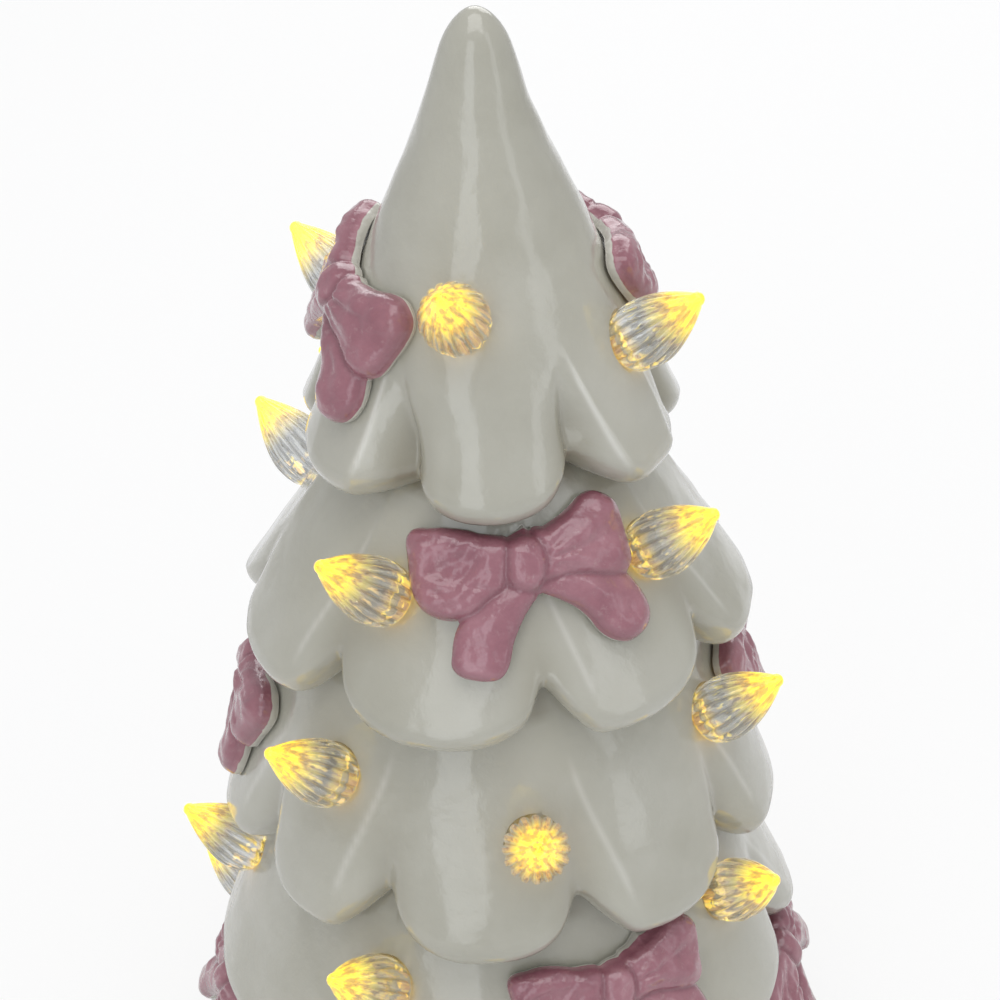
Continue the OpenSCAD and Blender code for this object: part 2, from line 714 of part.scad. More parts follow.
tree_body();
for (i = [1:bow_count]) bow(bow_place_shares[i - 1]);
for (i = [1:bulb_count]) bulb(i - 1);
for (i = [1:tier_count]) leds_tier(i - 1);
foot_pads();
base_plate();
battery_tray();
battery_door();
battery_cells();
contact_springs();
contact_plates();
plate_screws();
switch_housing();
switch_slider();
circuit_board();
board_parts();
string_wire();
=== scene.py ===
import math
from collections import namedtuple

import bmesh
import bpy
import numpy as np
from mathutils import Matrix, Vector, noise


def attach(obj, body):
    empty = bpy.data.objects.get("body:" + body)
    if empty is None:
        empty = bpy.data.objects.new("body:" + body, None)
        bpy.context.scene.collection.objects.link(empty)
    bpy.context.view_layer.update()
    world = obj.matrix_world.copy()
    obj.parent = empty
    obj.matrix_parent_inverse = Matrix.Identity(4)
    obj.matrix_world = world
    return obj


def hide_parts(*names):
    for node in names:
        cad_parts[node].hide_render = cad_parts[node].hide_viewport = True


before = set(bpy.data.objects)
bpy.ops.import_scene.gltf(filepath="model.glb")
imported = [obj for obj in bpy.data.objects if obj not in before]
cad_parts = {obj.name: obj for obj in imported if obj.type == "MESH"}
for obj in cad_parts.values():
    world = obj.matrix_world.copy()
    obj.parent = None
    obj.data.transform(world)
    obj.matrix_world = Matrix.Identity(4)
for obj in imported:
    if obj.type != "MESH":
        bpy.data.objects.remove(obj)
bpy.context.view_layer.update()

MM = 0.001
BLACK = (0, 0, 0)
WHITE = (1, 1, 1)

# Tree form, in millimetres and degrees, the same as the part's source

APEX_Z = 279.0
TIP_R = 4.8
TIP_H = 8.0
# Tier by tier from the top: the lobes' radius, their lowest point, the edge's rise between them,
# the grooves' depth and how the face curves outward
TIER_R = [42, 58, 65, 72, 79]
TIER_Z = [185, 140, 88, 44, 8]
TIER_RISE = [9, 10, 10, 10, 10]
TIER_GROOVE = [9, 8, 8, 8, 8]
FLARES = [1, 1, 0.88, 0.88, 0.88]
LIP_H = 6.0
LIP_IN = 6.0
ROOT_IN = 18.0
ROOT_UP = 2.0
CONE_FLARE = 1.12
LOBE_POWER = 2.4
GROOVE_START = 0.68
PAD_T = 2.0
WALL = 5.0
FOOT_W = 9.0
REBATE_W = 2.0
PLATE_TOP = 5.5
TOP_SOLID = 30.0
# The grooves' directions, tier by tier
VALLEYS = [
    [-87, -30, 27, 81, 128, 180, 220],
    [-85, -40, 10, 55, 100, 145, 190, 235],
    [-100, -60, -25, 15, 55, 95, 135, 175, 215],
    [-130, -95, -20, 30, 75, 120, 165, 205],
    [-100, -60, -20, 20, 60, 100, 135, 165, 195, 230],
]
# Each bulb's tier, direction, place down the tier's face and the direction it aims in
BULBS = [
    [0, -124, 0.79, -118], [0, -11, 0.62, -12], [0, 66, 0.76, 63], [0, 196, 0.72, 196],
    [1, -119, 0.66, -122], [1, -30, 0.57, -62], [1, 50, 0.54, 63], [1, 137, 0.50, 137],
    [1, 223, 0.50, 223],
    [2, -41, 0.49, -63], [2, 7, 0.64, 1], [2, 62, 0.48, 71], [2, 134, 0.50, 134],
    [2, 162, 0.50, 162], [2, 192, 0.50, 192], [2, 224, 0.50, 224],
    [3, -83, 0.50, -88], [3, -26, 0.54, -49], [3, 58, 0.43, 44], [3, 130, 0.46, 130],
    [3, 154, 0.50, 154], [3, 217, 0.50, 217], [3, 241, 0.54, 241],
    [4, -111, 0.54, -110], [4, -42, 0.54, -42], [4, 0, 0.54, 0], [4, 42, 0.54, 42],
    [4, 122, 0.54, 122], [4, 149, 0.54, 149], [4, 180, 0.54, 180], [4, 212, 0.54, 212],
]
# Each bow's tier, direction, place down the tier's face and turn
BOWS = [
    [0, -77, 0.645, -10], [0, 122, 0.64, 8],
    [1, 9, 0.41, 6], [1, 180, 0.45, -8],
    [2, -93, 0.50, -10], [2, 98, 0.42, 10],
    [3, 22, 0.49, 4], [3, 186, 0.46, -8],
    [4, -80, 0.48, -10], [4, 82, 0.46, 10],
]
BULB_L = 22.0
BULB_R = 7.2
BULB_BASE_R = 5.0
BULB_TIP_R = 1.5
PEG_R = 2.5
PEG_L = 9.0
BULB_TILT = 42.0
SEAT_SINK = 1.5
PEG_GAP = 0.1
SEAT_GAP = 0.3
BELLY_Z = 6.6
WIRE_DEPTH = 19.0


def smooth_step(x):
    """0 up to 0, 1 from 1 on, and a smooth rise between."""
    x = np.clip(x, 0, 1)
    return x * x * (3 - 2 * x)


def wrapped(degrees):
    """The same direction, from -180 to 180."""
    return (degrees + 180) % 360 - 180


def lobes(grooves):
    """Each lobe's two grooves, round the tree."""
    return zip(grooves, [*grooves[1:], grooves[0] + 360])


def lobe_bowl(a, low, high, power):
    """Which directions lie between two grooves, and 0 in the middle there to 1 at the grooves."""
    x = (a - low) % 360
    u = np.clip(np.abs(2 * x / (high - low) - 1), 0, 1)
    return x <= high - low, 1 - (1 - u ** power) ** (1 / power)


def crease(k, a):
    """0 in the middle of a lobe, 1 in the groove beside it, for directions a in degrees."""
    a = np.asarray(a, float)
    out = np.zeros_like(a)
    for low, high in lobes(VALLEYS[k]):
        inside, bowl = lobe_bowl(a, low, high, LOBE_POWER)
        out = np.where(inside, bowl, out)
    return out


def groove_run(s):
    """How far down the top tier's grooves a place s lies, from 0 to 1."""
    return np.clip((s - GROOVE_START) / (1 - GROOVE_START), 0, 1)


def cone_r(h, s):
    """The cone's radius at h below the apex, without its grooves."""
    tip = TIP_R * np.sqrt(1 - (1 - np.minimum(1, h / TIP_H)) ** 2)
    return tip + (TIER_R[0] - TIP_R) * s ** CONE_FLARE


def root_r(k):
    """The radius at which tier k starts, inside the tier above it."""
    return TIER_R[k - 1] - ROOT_IN


def root_z(k):
    """The height at which tier k starts."""
    return TIER_Z[k - 1] + TIER_RISE[k - 1] + ROOT_UP


def face_rz(k, a, s, c=None):
    """Radius and height on tier k's face, s from 0 at its start to 1 at its lip."""
    c = crease(k, a) if c is None else c
    if k == 0:
        c = c * smooth_step(groove_run(s))
        h = (APEX_Z - TIER_Z[0] - LIP_H) * s - TIER_RISE[0] * c
        return cone_r(h, s) - TIER_GROOVE[0] * c, APEX_Z - h
    lip = TIER_Z[k] + LIP_H + TIER_RISE[k] * c
    out = s ** FLARES[k]
    r = root_r(k) + (TIER_R[k] - TIER_GROOVE[k] * c * out - root_r(k)) * out
    return r, root_z(k) + (lip - root_z(k)) * s


def xyz(r, z, a):
    """Points at radius r and height z in directions a, which are 0 at the front."""
    a = np.radians(a)
    return np.stack([r * np.sin(a), -r * np.cos(a), z + 0 * r], -1)


def on_face(k, a, s, c=None):
    """Points on tier k's face."""
    r, z = face_rz(k, a, s, c)
    return xyz(r, z, a)


# Mesh helpers

def new_object(name, verts, faces, smooth=True):
    """A mesh object from points in millimetres."""
    mesh = bpy.data.meshes.new(name)
    mesh.from_pydata((np.asarray(verts) * MM).tolist(), [], [list(map(int, f)) for f in faces])
    mesh.update()
    if smooth:
        set_smooth(mesh)
    o = bpy.data.objects.new(name, mesh)
    bpy.context.scene.collection.objects.link(o)
    return o


def coords(mesh):
    """The mesh's points, in metres."""
    v = np.empty(len(mesh.vertices) * 3)
    mesh.vertices.foreach_get("co", v)
    return v.reshape(-1, 3)


def set_smooth(mesh):
    """Shades every face smooth."""
    mesh.polygons.foreach_set("use_smooth", [True] * len(mesh.polygons))


def set_attribute(mesh, name, values):
    a = mesh.attributes.new(name, "FLOAT", "POINT")
    a.data.foreach_set("value", np.asarray(values, np.float32))


def tube_faces(rows, count, from_top=False):
    """Faces over rows of count points each, closed by fans to the two points that follow them."""
    low, high = rows * count, rows * count + 1
    following = [(i + 1) % count for i in range(count)]
    faces = []
    for j in range(rows - 1):
        for i, b in enumerate(following):
            faces.append((j * count + i, j * count + b, (j + 1) * count + b, (j + 1) * count + i))
    for i, b in enumerate(following):
        faces.append((low, b, i))
        faces.append((high, (rows - 1) * count + i, (rows - 1) * count + b))
    return [(f[0], *f[:0:-1]) for f in faces] if from_top else faces


def revolve(profile, count):
    """A closed turned solid about Z, with its ends on the axis."""
    rings = [p for p in profile if p[0] > 0]
    turns = [2 * math.pi * i / count for i in range(count)]
    verts = [(r * math.cos(a), r * math.sin(a), z) for r, z in rings for a in turns]
    verts += [(0, 0, profile[0][1]), (0, 0, profile[-1][1])]
    return np.array(verts), tube_faces(len(rings), count)


def bulb_frame(i):
    """The seat's middle and a 3x3 whose third column is the bulb's axis."""
    k, a, s, aim = BULBS[i]
    aim, tilt = math.radians(aim), math.radians(BULB_TILT)
    axis = np.array([math.sin(aim) * math.cos(tilt), -math.cos(aim) * math.cos(tilt), math.sin(tilt)])
    side = np.array([math.cos(aim), math.sin(aim), 0.0])
    up = np.cross(axis, side)
    seat = on_face(k, np.array(float(a)), s) - axis * SEAT_SINK
    return seat, np.stack([side, up, axis], 1)


# Materials

def material(name):
    """A new material, its node tree and its shader."""
    m = bpy.data.materials.new(name)
    m.use_nodes = True
    nt = m.node_tree
    nt.nodes.clear()
    out = nt.nodes.new("ShaderNodeOutputMaterial")
    b = nt.nodes.new("ShaderNodeBsdfPrincipled")
    link(nt, b.outputs[0], out.inputs[0])
    return m, nt, b


def link(nt, a, b):
    nt.links.new(a, b)


def node(nt, kind, **properties):
    n = nt.nodes.new("ShaderNode" + kind)
    for name, value in properties.items():
        setattr(n, name, value)
    return n


def set_inputs(n, **values):
    """Sets a node's inputs by name, with _ for a space."""
    for name, value in values.items():
        n.inputs[name.replace("_", " ")].default_value = value


def fill(nt, socket, value):
    """Links a socket to another one, or gives it a number or a colour."""
    if isinstance(value, bpy.types.NodeSocket):
        link(nt, value, socket)
    else:
        socket.default_value = (*value, 1) if isinstance(value, tuple) else value


def grey(value):
    return (value, value, value)


def noise_on(nt, vector, scale, detail=3.0, rough=0.5):
    n = node(nt, "TexNoise")
    set_inputs(n, Scale=scale, Detail=detail, Roughness=rough)
    link(nt, vector, n.inputs["Vector"])
    return n.outputs[0]


def texture(nt, scale, detail=3.0, rough=0.5):
    """A noise on the object's own coordinates, scale in waves per metre."""
    return noise_on(nt, node(nt, "TexCoord").outputs["Object"], scale, detail, rough)


def ramp(nt, source, stops):
    """A colour for each value of source, from stops of (value, colour)."""
    r = node(nt, "ValToRGB")
    e = r.color_ramp.elements
    while len(e) > 1:
        e.remove(e[-1])
    e[0].position, e[0].color = stops[0][0], (*stops[0][1], 1)
    for place, color in stops[1:]:
        e.new(place).color = (*color, 1)
    link(nt, source, r.inputs[0])
    return r.outputs[0]


def mix(nt, factor, a, b):
    m = node(nt, "Mix", data_type="RGBA", blend_type="MIX")
    for value, socket in ((factor, m.inputs[0]), (a, m.inputs[6]), (b, m.inputs[7])):
        fill(nt, socket, value)
    return m.outputs[2]


def maths(nt, operation, a, b):
    m = node(nt, "Math", operation=operation)
    fill(nt, m.inputs[0], a)
    fill(nt, m.inputs[1], b)
    return m.outputs[0]


def times(nt, a, b):
    return maths(nt, "MULTIPLY", a, b)


def bump(nt, b, height, strength, distance):
    n = node(nt, "Bump")
    set_inputs(n, Strength=strength, Distance=distance)
    link(nt, height, n.inputs["Height"])
    link(nt, n.outputs[0], b.inputs["Normal"])


def attribute(nt, name):
    return node(nt, "Attribute", attribute_name=name).outputs["Fac"]


def make_white_glaze():
    """Ivory glaze with specks, darker in the grooves with pooled glaze and painted shade, and a painted
    highlight as pale lines on the scoops' edges.
    """
    m, nt, b = material("white_glaze")
    tone = ramp(nt, texture(nt, 28, 4, 0.55),
                [(0.3, (0.40, 0.388, 0.322)), (0.5, (0.448, 0.437, 0.372)), (0.7, (0.485, 0.476, 0.415))])
    # darker in the grooves: pooled glaze with painted shade
    pooled_and_shaded = mix(nt, attribute(nt, "groove"), tone, (0.30, 0.28, 0.215))
    # painted highlight: a pale line on the scoops' edges, where light would glint
    with_painted_highlight = mix(nt, times(nt, attribute(nt, "ridge"), 0.6), pooled_and_shaded, (0.80, 0.79, 0.74))
    specks = ramp(nt, texture(nt, 900, 2), [(0.68, BLACK), (0.74, WHITE)])
    link(nt, mix(nt, times(nt, specks, 0.12), with_painted_highlight, (0.40, 0.36, 0.28)), b.inputs["Base Color"])
    link(nt, ramp(nt, texture(nt, 60), [(0.3, grey(0.10)), (0.75, grey(0.19))]), b.inputs["Roughness"])
    set_inputs(b, Specular_IOR_Level=0.6, Coat_Weight=0.6, Coat_Roughness=0.05, Emission_Strength=0.10)
    # painted light: the bulbs' warm glow on the glaze, as emission
    link(nt, mix(nt, attribute(nt, "glow"), BLACK, (1.0, 0.58, 0.22)), b.inputs["Emission Color"])
    bump(nt, b, mix(nt, 0.3, texture(nt, 45, 2), texture(nt, 260)), 0.44, 0.0018)
    return m


def make_pink_glaze():
    """Worn pink glaze on the bow's front, darker in its seams and along its outline with painted shade and
    pooled glaze, and bare ivory sides.
    """
    m, nt, b = material("pink_glaze")
    tone = ramp(nt, texture(nt, 110, 5, 0.6),
                [(0.3, (0.265, 0.100, 0.130)), (0.5, (0.325, 0.132, 0.165)), (0.72, (0.40, 0.185, 0.222))])
    worn = ramp(nt, texture(nt, 420, 4, 0.7), [(0.58, BLACK), (0.75, WHITE)])
    front = mix(nt, times(nt, worn, 0.5), tone, (0.47, 0.31, 0.32))
    # darker in the seams and along the outline: painted shade with pooled glaze
    front = mix(nt, attribute(nt, "pool_and_shade"), front, (0.19, 0.060, 0.082))
    ivory = ramp(nt, texture(nt, 160, 4), [(0.3, (0.50, 0.48, 0.42)), (0.7, (0.62, 0.60, 0.54))])
    ragged = times(nt, maths(nt, "SUBTRACT", texture(nt, 300), 0.5), 0.5)
    split = ramp(nt, maths(nt, "ADD", attribute(nt, "side"), ragged), [(0.47, BLACK), (0.55, WHITE)])
    link(nt, mix(nt, split, front, ivory), b.inputs["Base Color"])
    link(nt, ramp(nt, texture(nt, 200), [(0.3, grey(0.12)), (0.75, grey(0.26))]), b.inputs["Roughness"])
    set_inputs(b, Specular_IOR_Level=0.55, Coat_Weight=0.6, Coat_Roughness=0.035, Emission_Strength=0.3)
    # painted light: the bulbs' warm glow on the bow, as emission
    link(nt, mix(nt, attribute(nt, "glow"), BLACK, (0.9, 0.42, 0.16)), b.inputs["Emission Color"])
    bump(nt, b, mix(nt, 0.30, texture(nt, 170), texture(nt, 520, 2)), 0.62, 0.0014)
    return m


def make_bulb():
    """Clear plastic with darker lines along its flutes, amber light at the base and a bright tip."""
    m, nt, b = material("clear_bulb")
    along = attribute(nt, "along")
    own = node(nt, "Attribute", attribute_name="own").outputs["Vector"]
    stretch = node(nt, "Mapping")
    set_inputs(stretch, Scale=(1.0, 1.0, 0.22))
    link(nt, own, stretch.inputs["Vector"])
    streak = noise_on(nt, stretch.outputs[0], 820)
    cells = noise_on(nt, own, 330, 2)
    middle = ramp(nt, along, [(0.0, grey(0.2)), (0.10, WHITE), (0.56, WHITE), (0.80, grey(0.25))])
    dark = ramp(nt, streak, [(0.39, WHITE), (0.43, BLACK)])
    groove = ramp(nt, attribute(nt, "ridge"), [(0.0, WHITE), (0.22, BLACK)])
    lines = times(nt, maths(nt, "MAXIMUM", dark, groove), middle)
    tinted = ramp(nt, along, [
        (0.0, (1.0, 0.66, 0.26)), (0.05, (0.76, 0.79, 0.82)), (0.52, (0.76, 0.79, 0.81)),
        (0.72, (1.0, 0.82, 0.30)), (1.0, (1.0, 0.76, 0.16))])
    link(nt, mix(nt, lines, tinted, (0.44, 0.45, 0.46)), b.inputs["Base Color"])
    set_inputs(b, Roughness=0.04, IOR=1.36, Transmission_Weight=0.74, Coat_Weight=0.6, Coat_Roughness=0.03)
    fade = ramp(nt, along, [
        (0.0, grey(0.45)), (0.03, grey(0.32)), (0.06, grey(0.02)), (0.16, BLACK),
        (0.46, BLACK), (0.60, grey(0.26)), (0.76, grey(0.85)), (1.0, grey(1.2))])
    warm = ramp(nt, along, [
        (0.0, (1.0, 0.45, 0.06)), (0.1, (1.0, 0.60, 0.10)),
        (0.6, (0.95, 0.42, 0.02)), (1.0, (1.0, 0.55, 0.02))])
    pale = ramp(nt, streak, [(0.44, BLACK), (0.54, WHITE)])
    spots = ramp(nt, cells, [(0.60, BLACK), (0.64, WHITE)])
    low = ramp(nt, along, [(0.04, BLACK), (0.10, WHITE), (0.24, WHITE), (0.36, BLACK)])
    bright = ramp(nt, streak, [(0.38, grey(0.35)), (0.56, WHITE)])
    level = maths(nt, "ADD", times(nt, fade, bright), times(nt, times(nt, spots, low), 0.6))
    link(nt, mix(nt, level, BLACK, mix(nt, pale, warm, (1.0, 0.79, 0.02))), b.inputs["Emission Color"])
    set_inputs(b, Emission_Strength=1.0)
    bump(nt, b, streak, 0.35, 0.0004)
    return m


def make_led():
    m, nt, b = material("led_resin")
    link(nt, mix(nt, texture(nt, 700, 2), (0.9, 0.62, 0.22), (0.98, 0.85, 0.5)), b.inputs["Base Color"])
    set_inputs(b, Roughness=0.15, Emission_Color=(1.0, 0.66, 0.22, 1), Emission_Strength=0.12)
    return m


def make_plastic(name, light, dark, rough, grain, depth, metallic=0.0):
    m, nt, b = material(name)
    t = texture(nt, grain, 4, 0.6)
    link(nt, ramp(nt, t, [(0.3, dark), (0.7, light)]), b.inputs["Base Color"])
    smears = ramp(nt, texture(nt, grain / 6), [(0.3, grey(rough * 0.8)), (0.7, grey(rough * 1.2))])
    link(nt, smears, b.inputs["Roughness"])
    set_inputs(b, Metallic=metallic)
    bump(nt, b, t, 0.25, depth)
    return m


def make_cells():
    """Plain wrap with a band at one end."""
    m, nt, b = material("cell_wrap")
    sep = node(nt, "SeparateXYZ")
    link(nt, node(nt, "TexCoord").outputs["Object"], sep.inputs[0])
    band = ramp(nt, maths(nt, "ADD", 0.5, times(nt, sep.outputs[1], 18.0)),
                [(0.28, (0.46, 0.33, 0.16)), (0.30, (0.04, 0.04, 0.045))])
    t = texture(nt, 300)
    link(nt, mix(nt, times(nt, t, 0.3), band, (0.3, 0.25, 0.18)), b.inputs["Base Color"])
    set_inputs(b, Roughness=0.28, Metallic=0.6)
    bump(nt, b, t, 0.1, 0.0001)
    return m


white_glaze = make_white_glaze()
pink_glaze = make_pink_glaze()
clear_bulb = make_bulb()
led_resin = make_led()
white_plastic = make_plastic("white_plastic", (0.74, 0.74, 0.72), (0.66, 0.66, 0.64), 0.42, 1200, 0.0002)
pad_rubber = make_plastic("pad_rubber", (0.62, 0.62, 0.60), (0.5, 0.5, 0.48), 0.6, 900, 0.0002)
black_plastic = make_plastic("black_plastic", (0.04, 0.04, 0.042), (0.02, 0.02, 0.021), 0.4, 1500, 0.0001)
board_mask = make_plastic("board_mask", (0.05, 0.22, 0.09), (0.03, 0.15, 0.06), 0.3, 600, 0.0001)
wire_cover = make_plastic("wire_cover", (0.72, 0.70, 0.62), (0.62, 0.60, 0.53), 0.3, 500, 0.0001)
steel = make_plastic("steel", (0.66, 0.66, 0.68), (0.5, 0.5, 0.52), 0.28, 900, 0.0001, metallic=1.0)
cell_wrap = make_cells()

# Pieces carried over from the solids as they are

CARRIED = {
    "foot_pads": pad_rubber, "base_plate": white_plastic, "battery_tray": white_plastic,
    "battery_door": white_plastic, "battery_cells": cell_wrap, "contact_springs": steel,
    "contact_plates": steel, "plate_screws": steel, "switch_housing": black_plastic,
    "switch_slider": black_plastic, "circuit_board": board_mask, "board_parts": black_plastic,
    "string_wire": wire_cover, **{f"leds_tier_{k + 1}": led_resin for k in range(len(TIER_R))},
}
for name, m in CARRIED.items():
    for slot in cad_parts[name].material_slots:
        slot.material = m

# The bulbs' warm light on the glaze round them

GLOW_REACH = 3.2
GLOW_OUT = 1.5
GLOW_STRENGTH = 0.6


def glow_at(points):
    """How strongly the bulbs light a point, with points in millimetres."""
    out = np.zeros(len(points))
    for i in range(len(BULBS)):
        seat, turn = bulb_frame(i)
        d = np.linalg.norm(points - (seat + turn[:, 2] * GLOW_OUT), axis=1)
        out += np.exp(-np.maximum(0, d - BULB_BASE_R) / GLOW_REACH)
    return np.clip(out * GLOW_STRENGTH, 0, 1)


# The tree

COLUMNS = 540
CONE_ROWS = 64
CONE_CROWDING = 1.4
FACE_ROWS = 24
LIP_ROWS = 7
SHARP_ANGLE = 50

# The top tier's two front grooves, sharp on the middle lobe's side with a scoop on the other:
# direction where the groove starts, how far it leans by the lip, the scoop's width there and
# how far the edge rises in it
Scoop = namedtuple("Scoop", "start lean width rise")
SCOOPS = {-30: Scoop(-34.0, 9.0, 20.0, 4.0), 27: Scoop(27.5, 0.0, 17.0, 7.5)}
SCOOP_START_W = 3.0
SCOOP_LIMIT = 40
SCOOP_POWER = 0.9
SIDE_SCOOP_START = 0.22
SIDE_SCOOP_START_W, SIDE_SCOOP_LIP_W = 1.5, 12.0
# The part of the top tier's edge that takes the scoops' own rise, in degrees to either side
FRONT_HALF = 58
FRONT_LOBE_POWER = 2.0
# Softening of the grooves in degrees, with the gain that keeps their depth
TOP_BLUR, TOP_GAIN = 1.1, 1.08
EDGE_BLUR, EDGE_SPREAD, EDGE_POWER = 2.6, 7.0, 1.15
LOWER_BLUR, LOWER_GAIN = 1.5, 1.2
# Unevenness of the clay: its height in millimetres and its waves per millimetre
CLAY_BIG, CLAY_SMALL = (0.72, 0.045), (0.34, 0.13)
CLAY_INWARD = 0.50


def beside_scoop(v, a, s):
    """How many degrees directions a lie beside the top tier's groove v, away from the middle lobe."""
    leaned = SCOOPS[v].start + SCOOPS[v].lean * smooth_step(groove_run(s))
    return np.sign(v) * wrapped(a - leaned)


def top_scoop_w(v, s, spread=0.0):
    """How far the scoop of the top tier's groove v opens, in degrees."""
    return SCOOP_START_W + (SCOOPS[v].width + spread - SCOOP_START_W) * groove_run(s)


def top_crease(a, s, spread=0.0):
    """crease for the top tier, with its front grooves opening into scoops, spread wider by some degrees."""
    opened = smooth_step(groove_run(s))
    grooves = VALLEYS[0]
    places = [SCOOPS[v].start + SCOOPS[v].lean * opened if v in SCOOPS else float(v) for v in grooves]
    total = np.zeros_like(a)
    for i, (low, high) in enumerate(lobes(places)):
        front = grooves[i] in SCOOPS and grooves[(i + 1) % len(grooves)] in SCOOPS
        inside, bowl = lobe_bowl(a, low, high, FRONT_LOBE_POWER if front else LOBE_POWER)
        total = np.where(inside, bowl, total)
    for v in SCOOPS:
        out = beside_scoop(v, a, s)
        facet = np.clip(1 - out / top_scoop_w(v, s, spread), 0, 1) ** SCOOP_POWER
        total = np.where((out >= 0) & (out < SCOOP_LIMIT), facet, total)
    return total


def blurred(values, width):
    """Values round the tree, averaged over a few degrees."""
    step = 360.0 / len(values)
    reach = int(3 * width / step)
    w = np.exp(-0.5 * (np.arange(-reach, reach + 1) * step / width) ** 2)
    w /= w.sum()
    return sum(w[j + reach] * np.roll(values, j) for j in range(-reach, reach + 1))


def side_scoop_w(s):
    """How far a lower tier's scoop opens beside its groove, in degrees."""
    run = smooth_step((s - SIDE_SCOOP_START) / (1 - SIDE_SCOOP_START))
    return SIDE_SCOOP_START_W + (SIDE_SCOOP_LIP_W - SIDE_SCOOP_START_W) * run


def beside_groove(v, a):
    """How many degrees directions a lie beside a lower tier's groove v, away from the front."""
    return (1 if wrapped(v) > 0 else -1) * wrapped(a - v)


def side_crease(k, a, s):
    """crease for the lower tiers, with a scoop beside each groove."""
    total = crease(k, a)
    for v in VALLEYS[k]:
        beside = beside_groove(v, a)
        facet = np.clip(1 - beside / side_scoop_w(s), 0, 1)
        total = np.where(beside >= 0, np.maximum(total, facet), total)
    return total


def tree_ring(k, a, s):
    """Radius and height on the visual tree's face, as face_rz with the softer grooves."""
    if k > 0:
        return face_rz(k, a, s, c=np.clip(LOWER_GAIN * blurred(side_crease(k, a, s), LOWER_BLUR), 0, 1))
    opened = smooth_step(groove_run(s))
    c = np.clip(TOP_GAIN * blurred(top_crease(a, s), TOP_BLUR), 0, 1)
    lifted = np.clip(TOP_GAIN * blurred(top_crease(a, s, EDGE_SPREAD), EDGE_BLUR), 0, 1) ** EDGE_POWER
    around = wrapped(a)
    front_rise = np.where(around < 0, SCOOPS[-30].rise, SCOOPS[27].rise)
    rise = np.where(np.abs(around) > FRONT_HALF, TIER_RISE[0], front_rise)
    h = (APEX_Z - TIER_Z[0] - LIP_H) * s - rise * lifted * opened
    return cone_r(h, s) - TIER_GROOVE[0] * c * opened, APEX_Z - h


def clay(points):
    """Hand-shaped unevenness in millimetres at points in millimetres."""
    big = np.array([noise.noise(Vector(q * CLAY_BIG[1])) for q in points])
    small = np.array([noise.noise(Vector(q * CLAY_SMALL[1] + 7.0)) for q in points])
    return CLAY_BIG[0] * big + CLAY_SMALL[0] * small - CLAY_INWARD


def build_tree():
    """The tree's outside from the apex down, closed under the foot."""
    a = np.arange(COLUMNS) * 360.0 / COLUMNS
    cone = [(i / CONE_ROWS) ** CONE_CROWDING for i in range(1, CONE_ROWS + 1)]
    face = [i / (FACE_ROWS - 1) for i in range(FACE_ROWS)]
    rows = []
    for k in range(len(TIER_R)):
        for s in face if k else cone:
            r, z = tree_ring(k, a, s)
            ring = xyz(r, z, a)
            fade = smooth_step(s / (0.2 if k else 0.25))
            ring[:, :2] *= (1 + fade * clay(ring) / np.maximum(r, 5))[:, None]
            rows.append(ring)
        lip = rows[-1]
        reach = np.hypot(lip[:, 0], lip[:, 1])
        for i in range(1, LIP_ROWS + 1):
            t = np.pi / 2 * i / LIP_ROWS
            ring = lip.copy()
            ring[:, :2] *= ((reach - LIP_IN * (1 - np.cos(t))) / reach)[:, None]
            ring[:, 2] -= LIP_H * np.sin(t)
            rows.append(ring)
    foot_r = np.full_like(a, root_r(5))
    rows += [xyz(foot_r, root_z(5), a), xyz(foot_r, PAD_T, a)]
    v = np.vstack([np.array(rows).reshape(-1, 3), [[0, 0, APEX_Z], [0, 0, PAD_T]]])
    return new_object("tree_glazed", v, tube_faces(len(rows), COLUMNS, from_top=True))


def build_cutters():
    """The foot's hollow and every bulb's seat, each as a solid of its own."""
    foot_r = root_r(5)
    foot_in = foot_r - FOOT_W
    below = -1
    hollow = [
        (0, below), (foot_in + REBATE_W, below), (foot_in + REBATE_W, PLATE_TOP), (foot_in, PLATE_TOP),
        (foot_in, TIER_Z[4] + LIP_H / 2),
        (foot_r - 0.8 * WALL, TIER_Z[4] + TIER_RISE[4]), (foot_r - WALL / 2, root_z(5) + WALL),
        (root_r(4) - WALL, root_z(4)), (root_r(3) - WALL, root_z(3)), (root_r(2) - WALL, root_z(2)),
        (root_r(1) - WALL, root_z(1)), (TIP_R / 2, APEX_Z - TOP_SOLID), (0, APEX_Z - TOP_SOLID),
    ]
    verts, faces = revolve(hollow, 96)
    out = [new_object("cutter_hollow", verts, faces, smooth=False)]
    seat = [
        (0, -WIRE_DEPTH), (PEG_R + PEG_GAP, -WIRE_DEPTH), (PEG_R + PEG_GAP, 0),
        ((BULB_BASE_R + BULB_R) / 2, 0), (BULB_R + SEAT_GAP, BELLY_Z / 2),
        (BULB_R + SEAT_GAP, 2 * BELLY_Z), (0, 2 * BELLY_Z),
    ]
    verts, faces = revolve(seat, 32)
    for i in range(len(BULBS)):
        middle, turn = bulb_frame(i)
        out.append(new_object(f"cutter_seat_{i + 1}", verts @ turn.T + middle, faces, smooth=False))
    return out


def apply_modifiers(o):
    dg = bpy.context.evaluated_depsgraph_get()
    mesh = bpy.data.meshes.new_from_object(o.evaluated_get(dg))
    o.modifiers.clear()
    old = o.data
    o.data = mesh
    bpy.data.meshes.remove(old)


def direction_of(points):
    return np.degrees(np.arctan2(points[:, 0], -points[:, 1]))


